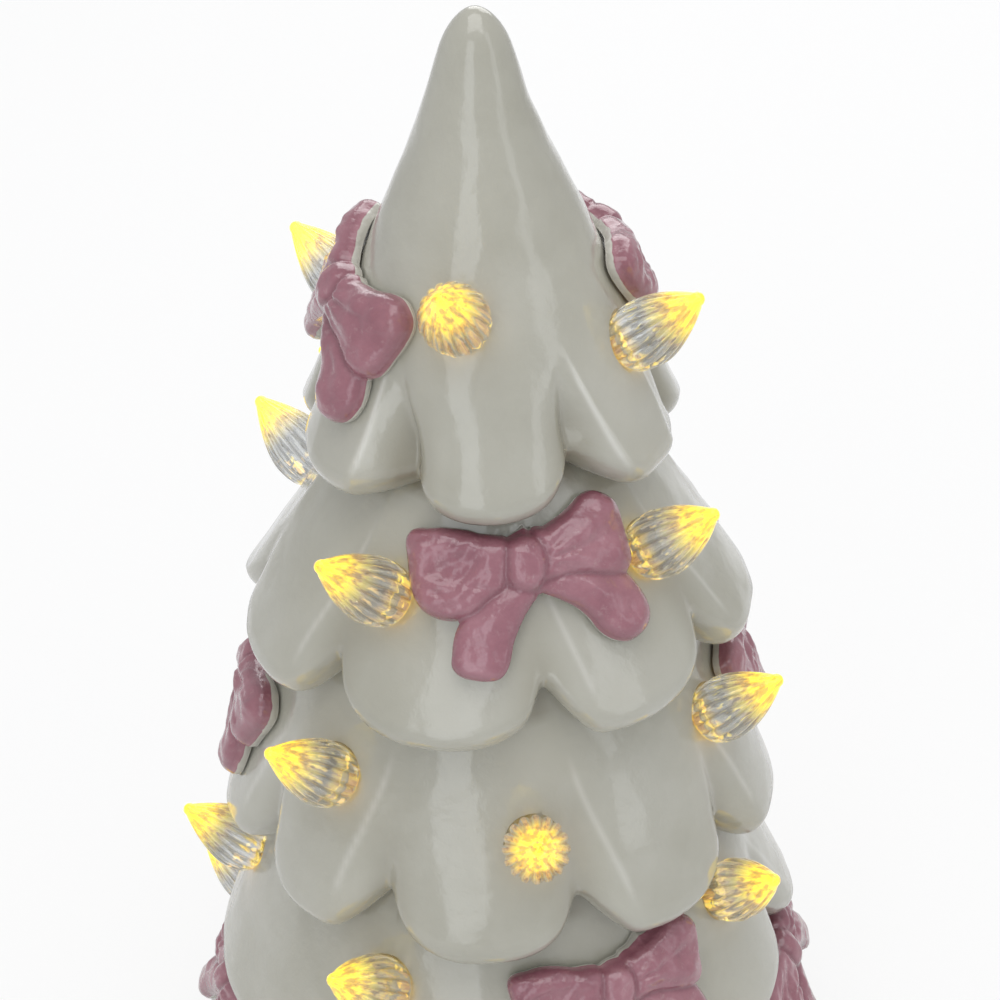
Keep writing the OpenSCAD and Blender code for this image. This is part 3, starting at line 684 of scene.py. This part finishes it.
def place_painted_highlight(points):
    """A painted highlight as a pale line along the scoops' outer edges, 1 on the top tier's and 0.5 on the
    others.
    """
    a = direction_of(points)
    s = (APEX_Z - points[:, 2]) / (APEX_Z - TIER_Z[0] - LIP_H)
    out = np.zeros(len(points))
    for v in SCOOPS:
        near = np.exp(-((beside_scoop(v, a, s) - top_scoop_w(v, s)) / 0.9) ** 2)
        out = np.maximum(out, near * smooth_step((s - 0.70) / 0.08) * smooth_step((0.99 - s) / 0.05))
    out = np.where(points[:, 2] > TIER_Z[0], out, 0)
    for k in range(1, len(TIER_R)):
        s = np.clip((root_z(k) - points[:, 2]) / (root_z(k) - TIER_Z[k] - LIP_H), 0, 1)
        here = (points[:, 2] >= TIER_Z[k] + LIP_H) & (points[:, 2] < TIER_Z[k - 1] + LIP_H)
        for v in VALLEYS[k]:
            near = np.exp(-((beside_groove(v, a) - side_scoop_w(s)) / 0.8) ** 2)
            near *= smooth_step((s - 0.30) / 0.15) * smooth_step((0.93 - s) / 0.10)
            out = np.where(here, np.maximum(out, 0.5 * near), out)
    return out


def place_pooling_and_shade(points):
    """How deep in a groove a point lies, from its direction and height, which darkens the glaze there:
    pooled glaze with painted shade.
    """
    a = direction_of(points)
    ring = np.arange(0, 360, 0.5)
    out = np.zeros(len(points))
    for k in range(len(TIER_R)):
        top = root_z(k) if k else APEX_Z
        s = np.clip((top - points[:, 2]) / (top - TIER_Z[k] - LIP_H), 0, 1)
        here = (points[:, 2] >= TIER_Z[k]) & (points[:, 2] < (TIER_Z[k - 1] + 2 if k else top))
        near_lip = blurred(crease(k, ring) if k else top_crease(ring, 0.92), 3.0)
        c = np.interp(a % 360, ring, near_lip, period=360)
        start = 0.30 if k else 0.72
        deep = np.clip((c - 0.18) / 0.5, 0, 1) * smooth_step((s - start) / (1.0 - start))
        out = np.where(here, deep, out)
    return out


tree = build_tree()
cutters = build_cutters()
for cutter in cutters:
    cut = tree.modifiers.new("cut", "BOOLEAN")
    cut.object = cutter
    cut.solver = "MANIFOLD"
apply_modifiers(tree)
for cutter in cutters:
    bpy.data.objects.remove(cutter)
tree.data.materials.clear()
tree.data.materials.append(white_glaze)
points = coords(tree.data) / MM
# darker glaze in the grooves: pooled glaze with painted shade
set_attribute(tree.data, "groove", place_pooling_and_shade(points))
# a painted highlight along the scoops' edges
set_attribute(tree.data, "ridge", place_painted_highlight(points))
# painted light of the bulbs on the glaze
set_attribute(tree.data, "glow", glow_at(points))
set_smooth(tree.data)
tree.data.set_sharp_from_angle(angle=math.radians(SHARP_ANGLE))
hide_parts("tree_body")
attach(tree, "tree")

# Bulbs: fluted clear teardrops on hollow pegs

FLUTES = 16
AROUND = FLUTES * 8
FLUTE_DEPTH = 0.095
PEG_WALL = 0.7
PEG_HOLLOW = 6.0
SHOULDER_IN = 1.2
SHOULDER_DROP = 0.2
SPIN_STEP = 37.0


def bulb_profile():
    """Radius and height of the bulb's rings, from the peg's end to the tip."""
    tip_z = BULB_L - BULB_TIP_R
    peg = [(PEG_R - PEG_WALL, -PEG_L), (PEG_R, -PEG_L), (PEG_R, -SHOULDER_DROP),
           (BULB_BASE_R - SHOULDER_IN, 0)]
    side = [(BULB_BASE_R + (BULB_R - BULB_BASE_R) * math.sin(t), BELLY_Z * (1 - math.cos(t)))
            for t in np.radians(np.linspace(0, 90, 13))]
    nose = [(BULB_TIP_R + (BULB_R - BULB_TIP_R) * (1 - s ** 1.6), BELLY_Z + (tip_z - BELLY_Z) * s)
            for s in np.linspace(0.06, 1, 20)]
    cap = [(BULB_TIP_R * math.cos(t), tip_z + BULB_TIP_R * math.sin(t)) for t in np.radians([25, 50, 72])]
    return peg + side + nose + cap


def build_bulb_mesh():
    """A bulb along Z, with its place along the bulb and across the flutes as attributes."""
    rings = bulb_profile()
    verts, along, ridge = [], [], []
    for r, z in rings:
        t = max(0.0, z / BULB_L)
        depth = FLUTE_DEPTH * min(1, t * 6) * min(1, (1 - t) * 3.5) if z > 0 else 0
        for i in range(AROUND):
            a = 2 * math.pi * i / AROUND
            wave = abs(math.sin(FLUTES * a / 2))
            fluted = r * (1 - depth * (1 - wave) ** 1.3)
            verts.append((fluted * math.cos(a), fluted * math.sin(a), z))
            along.append(t)
            ridge.append(wave ** 3 if z > 0 else 1)
    verts += [(0, 0, PEG_HOLLOW - PEG_L), (0, 0, BULB_L)]
    mesh = bpy.data.meshes.new("bulb_fluted")
    mesh.from_pydata((np.array(verts) * MM).tolist(), [], tube_faces(len(rings), AROUND))
    mesh.update()
    set_smooth(mesh)
    set_attribute(mesh, "along", along + [0, 1])
    set_attribute(mesh, "ridge", ridge + [1, 1])
    own = mesh.attributes.new("own", "FLOAT_VECTOR", "POINT")
    own.data.foreach_set("vector", coords(mesh).ravel())
    mesh.materials.append(clear_bulb)
    return mesh


bulb_mesh = build_bulb_mesh()
for i in range(len(BULBS)):
    seat, turn = bulb_frame(i)
    spin = np.radians(SPIN_STEP * i)
    about = np.array([[math.cos(spin), -math.sin(spin), 0], [math.sin(spin), math.cos(spin), 0], [0, 0, 1]])
    place = Matrix((turn @ about).tolist()).to_4x4()
    place.translation = Vector(seat * MM)
    mesh = bulb_mesh.copy()
    mesh.transform(place)
    o = bpy.data.objects.new(f"bulb_fluted_{i + 1}", mesh)
    bpy.context.scene.collection.objects.link(o)
    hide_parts(f"bulb_{i + 1}")
    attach(o, "tree")
bpy.data.meshes.remove(bulb_mesh)

# Bows: a pillowed front of pink glaze on ivory sides, following the tree

# Outlines of one bow's parts, in millimetres from the middle of its knot, x to the right and y up
LOOP_LEFT = [
    (-2.2, 4.6), (-7.8, 6.6), (-11.6, 7.8), (-15.3, 8.7), (-18.1, 8.4), (-21.2, 7.7), (-22.4, 5.6),
    (-21.8, 1.7), (-20.6, -2.9), (-19.2, -6.6), (-17.2, -8.3), (-14.3, -9.0), (-11.3, -8.7),
    (-9.0, -7.6), (-6.7, -5.7), (-4.1, -3.9),
]
TAIL_LEFT = [
    (-7.3, -5.1), (-9.7, -7.6), (-11.9, -9.7), (-13.0, -12.8), (-13.7, -16.3), (-14.0, -18.6),
    (-13.0, -20.4), (-11.1, -21.3), (-9.1, -21.6), (-7.7, -21.0), (-6.5, -19.0), (-5.1, -15.7),
    (-3.9, -13.2), (-2.3, -9.9), (-0.5, -7.8), (1.3, -5.9), (0.2, -2.6),
]
TAIL_RIGHT = [
    (-0.2, -4.5), (2.5, -6.8), (4.7, -8.3), (6.9, -10.7), (8.5, -13.9), (9.5, -16.7), (10.7, -19.0),
    (12.4, -20.9), (14.2, -21.3), (16.1, -20.4), (17.6, -18.3), (18.3, -15.1), (17.9, -11.7),
    (16.7, -8.6), (13.1, -5.8), (5.8, -3.2), (1.3, -1.8),
]
LOOP_RIGHT = [
    (2.8, 4.8), (5.7, 5.5), (9.1, 6.6), (13.2, 7.6), (16.6, 8.3), (19.2, 8.2), (21.3, 6.6),
    (22.1, 4.4), (21.6, 1.4), (20.7, -2.8), (19.6, -6.6), (17.2, -8.6), (14.2, -8.1),
    (10.4, -6.2), (6.0, -4.7), (1.5, -4.4),
]
KNOT = [
    (-3.3, 3.7), (-1.5, 5.1), (1.6, 5.2), (3.9, 3.6), (4.6, 0.3), (3.9, -2.3), (2.1, -4.6), (-0.7, -5.6),
    (-3.1, -4.5), (-4.1, -1.7),
]


def rounded(corners):
    """The outline with points added between, on a smooth curve through them all."""
    c = np.array(corners, float)
    for _ in range(2):
        between = (9 * (c + np.roll(c, -1, 0)) - np.roll(c, 1, 0) - np.roll(c, -2, 0)) / 16
        c = np.stack([c, between], 1).reshape(-1, 2)
    return c


def polygon_distance(points, corners):
    """Distance to a polygon's edge, positive inside."""
    best = np.full(len(points), np.inf)
    inside = np.zeros(len(points), bool)
    for p, q in zip(corners, np.roll(corners, -1, 0)):
        e = q - p
        w = points - p
        t = np.clip((w @ e) / (e @ e), 0, 1)
        best = np.minimum(best, np.linalg.norm(w - t[:, None] * e, axis=1))
        cross = (p[1] > points[:, 1]) != (q[1] > points[:, 1])
        with np.errstate(divide="ignore", invalid="ignore"):
            x = (q[0] - p[0]) * (points[:, 1] - p[1]) / (q[1] - p[1]) + p[0]
        inside ^= cross & (points[:, 0] < x)
    return np.where(inside, best, -best)


def dent(run, up, at, size, power):
    """1 in a dent's middle, falling to 0 round it."""
    return np.exp(-(((run - at[0]) / size[0]) ** 2 + ((up - at[1]) / size[1]) ** 2) ** power)


# Each relief below gives the height to add at points p of one part, where x is 0 at the part's edge
# and 1 on its top, and run is the distance sideways from the knot

def tail_relief(p, x, seed, across):
    """One soft fold down the tail."""
    away = np.linalg.norm(p, axis=1)
    shown = smooth_step((away - 5) / 4) * smooth_step((20 - away) / 6)
    return TAIL_FOLD * np.cos(across * 1.25 + seed) * x * shown


def tail_left_relief(p, x, seed):
    return tail_relief(p, x, seed, p[:, 0] * 0.93 - p[:, 1] * 0.37)


def tail_right_relief(p, x, seed):
    return tail_relief(p, x, seed, p[:, 0] * 0.74 + p[:, 1] * 0.67)


def loop_left_relief(p, x, seed):
    """A pressed-in loop, wrinkled, with a crack below its middle."""
    run, up = -p[:, 0], p[:, 1]
    wrinkle = np.abs(np.sin(0.55 * run + 0.75 * up + seed + 0.5 * np.sin(run * 0.6))) ** 0.6
    crack = np.exp(-((up + 3.6 + 0.8 * np.sin(run * 0.7 + seed)) / 0.55) ** 2)
    crack *= smooth_step((run - 5) / 4) * smooth_step((19 - run) / 4)
    pressed = dent(run, up, (13.0, 1.0), (5.6, 3.2), 2.2)
    return -(WRINKLE * (1 - wrinkle) * x * smooth_step((run - 4) / 4) + LEFT_DENT * pressed + CRACK * crack)


def loop_right_relief(p, x, seed):
    """Folds that fan out from the knot, and a shallow dent beyond them."""
    run, up = p[:, 0], p[:, 1]
    turn = np.arctan2(up, np.maximum(run - 1.0, 0.1))
    folds = 2 * np.abs(np.cos(turn * 6.5 + 0.3 + seed * 0.35)) ** 0.6 - 1
    faded = np.exp(-np.maximum(run - 6, 0) / 8.5) * smooth_step((run - 3) / 3)
    return RIGHT_FOLD * folds * faded * x - RIGHT_DENT * dent(run, up, (15.5, -0.5), (4.5, 2.6), 1.3)


def knot_relief(p, x, seed):
    """One groove down the knot."""
    return -KNOT_GROOVE * np.exp(-((p[:, 0] - 1.0 - 0.15 * p[:, 1]) / 0.8) ** 2) * x


TAIL_FOLD = 0.5
WRINKLE, LEFT_DENT, CRACK = 1.1, 2.0, 0.9
RIGHT_FOLD, RIGHT_DENT = 1.5, 0.9
KNOT_GROOVE = 0.6
BOW_PARTS = [
    # outline, height of the pillow, width over which it rises, its folds
    (rounded(TAIL_LEFT), 4.2, 4.4, tail_left_relief), (rounded(TAIL_RIGHT), 4.4, 4.4, tail_right_relief),
    (rounded(LOOP_LEFT), 5.6, 5.6, loop_left_relief), (rounded(LOOP_RIGHT), 6.0, 5.6, loop_right_relief),
    (rounded(KNOT), 7.2, 4.6, knot_relief),
]
OUTLINE_GROWTH = 0.3
OUTLINE_WOBBLE = 0.30
SEAM_W, SEAM_DEPTH = 1.1, 0.75
BLEND = 0.55
DISC_R, DISC_POINTS = 0.42, 6
DISC_MIDDLE = 2


def bow_raw(p, seed):
    """Distance inside the outline and the front's height at points p, in millimetres, and the darkening in
    its seams and along its outline: painted shade with pooled glaze.
    """
    reach = np.full(len(p), -np.inf)
    tops = []
    for n, (outline, top, rise, relief) in enumerate(BOW_PARTS):
        wobble = np.sin(p[:, 0] * 0.45 + seed + n) * np.cos(p[:, 1] * 0.42 - seed)
        d = polygon_distance(p, outline) + OUTLINE_GROWTH + OUTLINE_WOBBLE * wobble
        x = np.clip(d / rise, 0, 1)
        tops.append(np.where(d > 0, top * np.sqrt(1 - (1 - x) ** 2) + relief(p, x, seed), 0))
        reach = np.maximum(reach, d)
    tops = np.array(tops)
    second, first = np.sort(tops, axis=0)[-2:]
    seam = np.exp(-((first - second) / SEAM_W) ** 2) * smooth_step(second / 1.5)
    soft = BLEND * np.log(np.exp(tops / BLEND).sum(0) - len(tops) + 1)
    edge = np.clip(1 - reach / 1.8, 0, 1)
    return reach, np.where(reach > 0, soft, 0) - SEAM_DEPTH * seam, np.clip(0.9 * seam + 0.45 * edge, 0, 1)


def bow_fields(p, seed):
    """bow_raw with the height and the darkening of painted shade and pooled glaze averaged over a small
    disc.
    """
    reach, height, pool_and_shade = bow_raw(p, seed)
    height, pool_and_shade = height * DISC_MIDDLE, pool_and_shade * DISC_MIDDLE
    for i in range(DISC_POINTS):
        a = 2 * math.pi * i / DISC_POINTS
        _, h, t = bow_raw(p + DISC_R * np.array([math.cos(a), math.sin(a)]), seed)
        height, pool_and_shade = height + h, pool_and_shade + t
    return reach, height / (DISC_POINTS + DISC_MIDDLE), pool_and_shade / (DISC_POINTS + DISC_MIDDLE)


def face_run(k):
    """How far a lobe's middle runs outward and down over tier k's face."""
    r0, z0 = face_rz(k, np.array(0.0), 1e-6)
    r1, z1 = face_rz(k, np.array(0.0), 1.0)
    return float(r1 - r0), float(z0 - z1)


def bow_places(spec, p):
    """The directions and places down the tier's face of the bow's points p."""
    k, at, share, turn = spec
    t = math.radians(turn)
    mid_r, _ = face_rz(k, np.array(float(at)), share)
    across = p[:, 0] * math.cos(t) - p[:, 1] * math.sin(t)
    up = p[:, 0] * math.sin(t) + p[:, 1] * math.cos(t)
    return at + np.degrees(across / float(mid_r)), np.clip(share - up / math.hypot(*face_run(k)), 0.02, 1.0)


BOW_STEP = 0.42
BOW_X, BOW_Y = (-25, 25), (-23, 16)
SLOPE_STEP = 0.05
SIDE_T = 3.0
PILLOW = 0.58
LOBE_LIFT = 0.5
BACK_GAP = 0.1
JITTER = ((0.55, 0.24), (0.16, 0.55))
BOW_SHARP_ANGLE = 70
BOW_GLOW = 0.8
# The side's rings: share of the way from front to back, bulge outward, and ivory from 0 to 1
SIDE_RINGS = [
    (0.30, 0.22, 0.30), (0.42, 0.30, 0.45), (0.60, 0.28, 0.75), (0.80, 0.05, 0.9), (1.0, -0.25, 1.0),
]


def bow_grid(seed):
    """Points on a grid inside the outline, its outer ones moved onto it, and the faces between them."""
    xs = np.arange(BOW_X[0], BOW_X[1] + BOW_STEP, BOW_STEP)
    ys = np.arange(BOW_Y[0], BOW_Y[1] + BOW_STEP, BOW_STEP)
    gx, gy = np.meshgrid(xs, ys, indexing="ij")
    p = np.stack([gx.ravel(), gy.ravel()], 1)
    d = bow_raw(p, seed)[0]
    grad = np.stack([bow_raw(p + step, seed)[0] - bow_raw(p - step, seed)[0]
                     for step in SLOPE_STEP * np.eye(2)], 1) / (2 * SLOPE_STEP)
    near = (d < 0) & (d > -BOW_STEP * 1.3)
    shift = -grad * (d / np.maximum((grad ** 2).sum(1), 0.2))[:, None]
    shift *= np.minimum(1, 1.4 * BOW_STEP / np.maximum(np.linalg.norm(shift, axis=1), 1e-9))[:, None]
    p = np.where(near[:, None], p + shift, p)
    keep = (d >= 0) | near
    faces = []
    for i in range(len(xs) - 1):
        for j in range(len(ys) - 1):
            corner = i * len(ys) + j
            good = [x for x in (corner, corner + len(ys), corner + len(ys) + 1, corner + 1) if keep[x]]
            if len(good) >= 3 and any(d[x] > 0 for x in good):
                faces.append(good)
    used = sorted({x for f in faces for x in f})
    new = {x: n for n, x in enumerate(used)}
    return p[used], [[new[x] for x in f] for f in faces]


def rim_edges(faces):
    """The outer edges of an open surface, each in its face's order."""
    edges = [edge for f in faces for edge in zip(f, f[1:] + f[:1])]
    both = set(edges)
    return [(x, y) for x, y in edges if (y, x) not in both]


def rim_outward(p, rim, rim_points):
    """The direction straight out of the outline at each of its points, shorter at a sharp corner."""
    out = {x: np.zeros(2) for x in rim_points}
    for x, y in rim:
        e = p[y] - p[x]
        n = np.array([e[1], -e[0]])
        n = n / max(np.linalg.norm(n), 1e-9)
        out[x] += n
        out[y] += n
    v = np.array([out[x] for x in rim_points])
    return v / np.maximum(np.linalg.norm(v, axis=1), 1.7)[:, None]


def bow_front(k, a, s, d, h, seed):
    """The bow's front, the glaze under it, and the direction away from the glaze."""
    lobes_eased = float(np.mean(crease(k, a))) * 0.5
    outward, down = face_run(k)
    under = on_face(k, a, s)
    over = on_face(k, a, s, c=lobes_eased)
    away = np.stack([np.sin(np.radians(a)), -np.cos(np.radians(a)), np.full(len(a), outward / down)], 1)
    away /= np.linalg.norm(away, axis=1)[:, None]
    lift = np.maximum(((under - over) * away).sum(1), 0)
    front = over + away * (SIDE_T + h * PILLOW + LOBE_LIFT * lift)[:, None]
    (big, big_waves), (small, small_waves) = JITTER
    jitter = big * np.array([noise.noise(Vector(q * big_waves + seed)) for q in front])
    jitter += small * np.array([noise.noise(Vector(q * small_waves - seed)) for q in front])
    return front + away * (jitter * smooth_step(d / 2.5))[:, None], under, away


def build_bow(index, spec):
    seed = 1.7 * index + 0.4
    p, quads = bow_grid(seed)
    d, h, pool_and_shade = bow_fields(p, seed)
    a, s = bow_places(spec, p)
    front, under, away = bow_front(spec[0], a, s, d, h, seed)
    rim = rim_edges(quads)
    rim_points = sorted({x for edge in rim for x in edge})
    outward = rim_outward(p, rim, rim_points)
    round_tree = np.stack([np.cos(np.radians(a)), np.sin(np.radians(a)), 0 * a], 1)[rim_points]
    down_face = np.cross(round_tree, away[rim_points])
    turn = math.radians(spec[3])
    sideways = outward[:, 0] * math.cos(turn) - outward[:, 1] * math.sin(turn)
    upward = outward[:, 0] * math.sin(turn) + outward[:, 1] * math.cos(turn)
    push = round_tree * sideways[:, None] - down_face * upward[:, None]
    top, back = front[rim_points], under[rim_points]
    verts, faces = [front], [tuple(q) for q in quads]
    side, pool_and_shade_values = [np.zeros(len(p))], [pool_and_shade]
    base = len(p)
    last = {x: x for x in rim_points}
    for share, bulge, tone in SIDE_RINGS:
        verts.append(top + (back - top) * share + push * bulge)
        side.append(np.full(len(rim_points), tone))
        pool_and_shade_values.append(np.zeros(len(rim_points)))
        here = {x: base + n for n, x in enumerate(rim_points)}
        faces += [(last[y], last[x], here[x], here[y]) for x, y in rim]
        last = here
        base += len(rim_points)
    verts.append(under + away * BACK_GAP)
    side.append(np.ones(len(p)))
    pool_and_shade_values.append(np.zeros(len(p)))
    faces += [tuple(base + x for x in reversed(q)) for q in quads]
    faces += [(last[y], last[x], base + x, base + y) for x, y in rim]
    v = np.vstack(verts)
    o = new_object(f"bow_glazed_{index + 1}", v, faces)
    bm = bmesh.new()
    bm.from_mesh(o.data)
    bmesh.ops.recalc_face_normals(bm, faces=bm.faces)
    bm.to_mesh(o.data)
    bm.free()
    set_attribute(o.data, "side", np.concatenate(side))
    # painted shade with pooled glaze in the seams and along the outline
    set_attribute(o.data, "pool_and_shade", np.concatenate(pool_and_shade_values))
    # painted light of the bulbs on the bow
    set_attribute(o.data, "glow", glow_at(v) * BOW_GLOW)
    o.data.materials.append(pink_glaze)
    o.data.set_sharp_from_angle(angle=math.radians(BOW_SHARP_ANGLE))
    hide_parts(f"bow_{index + 1}")
    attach(o, "tree")


for i, spec in enumerate(BOWS):
    build_bow(i, spec)

# Floor, backdrop and light

def stage_material():
    """A pale matt surface that the camera sees brighter than the room lights it."""
    m, nt, b = material("stage_white")
    nt.nodes.remove(b)
    cloth = node(nt, "BsdfDiffuse")
    set_inputs(cloth, Color=(0.86, 0.86, 0.86, 1))
    bright = node(nt, "Emission")
    path = node(nt, "LightPath").outputs
    seen = maths(nt, "MAXIMUM", path["Is Camera Ray"], path["Is Transmission Ray"])
    joined = node(nt, "MixShader")
    link(nt, times(nt, seen, 0.8), joined.inputs[0])
    link(nt, cloth.outputs[0], joined.inputs[1])
    link(nt, bright.outputs[0], joined.inputs[2])
    link(nt, joined.outputs[0], nt.nodes["Material Output"].inputs[0])
    return m


def make_floor():
    """A floor that bends up into a backdrop behind the tree, in millimetres."""
    half, back, height, bend = 3000.0, 1200.0, 2500.0, 600.0
    turns = np.radians(np.linspace(8, 90, 12))
    path = [(-half, 0.0), (back, 0.0)]
    path += [(back + bend * math.sin(t), bend * (1 - math.cos(t))) for t in turns]
    path.append((back + bend, height))
    v = [(x, y, z) for y, z in path for x in (-half, half)]
    f = [(2 * i, 2 * i + 1, 2 * i + 3, 2 * i + 2) for i in range(len(path) - 1)]
    o = new_object("floor", v, f)
    o.data.materials.append(stage_material())


def area_light(name, at, towards, width, height, watts, color=WHITE):
    data = bpy.data.lights.new(name, "AREA")
    data.shape = "RECTANGLE"
    data.size, data.size_y = width, height
    data.energy = watts
    data.color = color
    o = bpy.data.objects.new(name, data)
    o.location = at
    o.rotation_mode = "QUATERNION"
    o.rotation_quaternion = (Vector(towards) - Vector(at)).to_track_quat("-Z", "Y")
    bpy.context.scene.collection.objects.link(o)


def make_world():
    """A soft even room, seen by the camera as white."""
    world = bpy.data.worlds.new("studio")
    bpy.context.scene.world = world
    world.use_nodes = True
    nt = world.node_tree
    nt.nodes.clear()
    room = node(nt, "Background")
    set_inputs(room, Color=(0.97, 0.98, 1.0, 1), Strength=ROOM_LIGHT)
    white = node(nt, "Background")
    set_inputs(white, Color=(1, 1, 1, 1), Strength=1.0)
    joined = node(nt, "MixShader")
    link(nt, node(nt, "LightPath").outputs["Is Camera Ray"], joined.inputs[0])
    link(nt, room.outputs[0], joined.inputs[1])
    link(nt, white.outputs[0], joined.inputs[2])
    link(nt, joined.outputs[0], node(nt, "OutputWorld").inputs[0])


MIDDLE = (0, 0, 0.16)
ROOM_LIGHT = 0.62
make_floor()
area_light("window_left", (-0.30, -0.85, 0.47), (0, 0, 0.17), 0.40, 0.90, 1.35, (0.92, 0.96, 1.0))
area_light("window_right", (0.75, -0.55, 0.55), MIDDLE, 0.22, 1.0, 0.55, (0.94, 0.97, 1.0))
area_light("softbox_top", (0.0, -0.25, 1.25), MIDDLE, 1.0, 0.8, 4.2)
area_light("softbox_back", (0.2, 1.0, 0.9), MIDDLE, 1.0, 0.8, 5.0)
make_world()

# Camera, at the photograph's angle

CAMERA_AT = (0.0018, -0.388, 0.4145)
PITCH = math.radians(32.5)
ROLL = math.radians(-1.9)
SENSOR_W = 36.0
LENS_SHARE = 2.1
cam_data = bpy.data.cameras.new("camera")
cam_data.sensor_width = SENSOR_W
cam_data.lens = LENS_SHARE * SENSOR_W
cam = bpy.data.objects.new("camera", cam_data)
bpy.context.scene.collection.objects.link(cam)
forward = Vector((0, math.cos(PITCH), -math.sin(PITCH)))
right = Vector((1, 0, 0))
up = right.cross(forward)
rolled_right = right * math.cos(ROLL) + up * math.sin(ROLL)
rolled_up = -right * math.sin(ROLL) + up * math.cos(ROLL)
place = Matrix((rolled_right, rolled_up, -forward)).transposed().to_4x4()
place.translation = Vector(CAMERA_AT)
cam.matrix_world = place
bpy.context.scene.camera = cam
bpy.context.scene.view_settings.view_transform = "Standard"
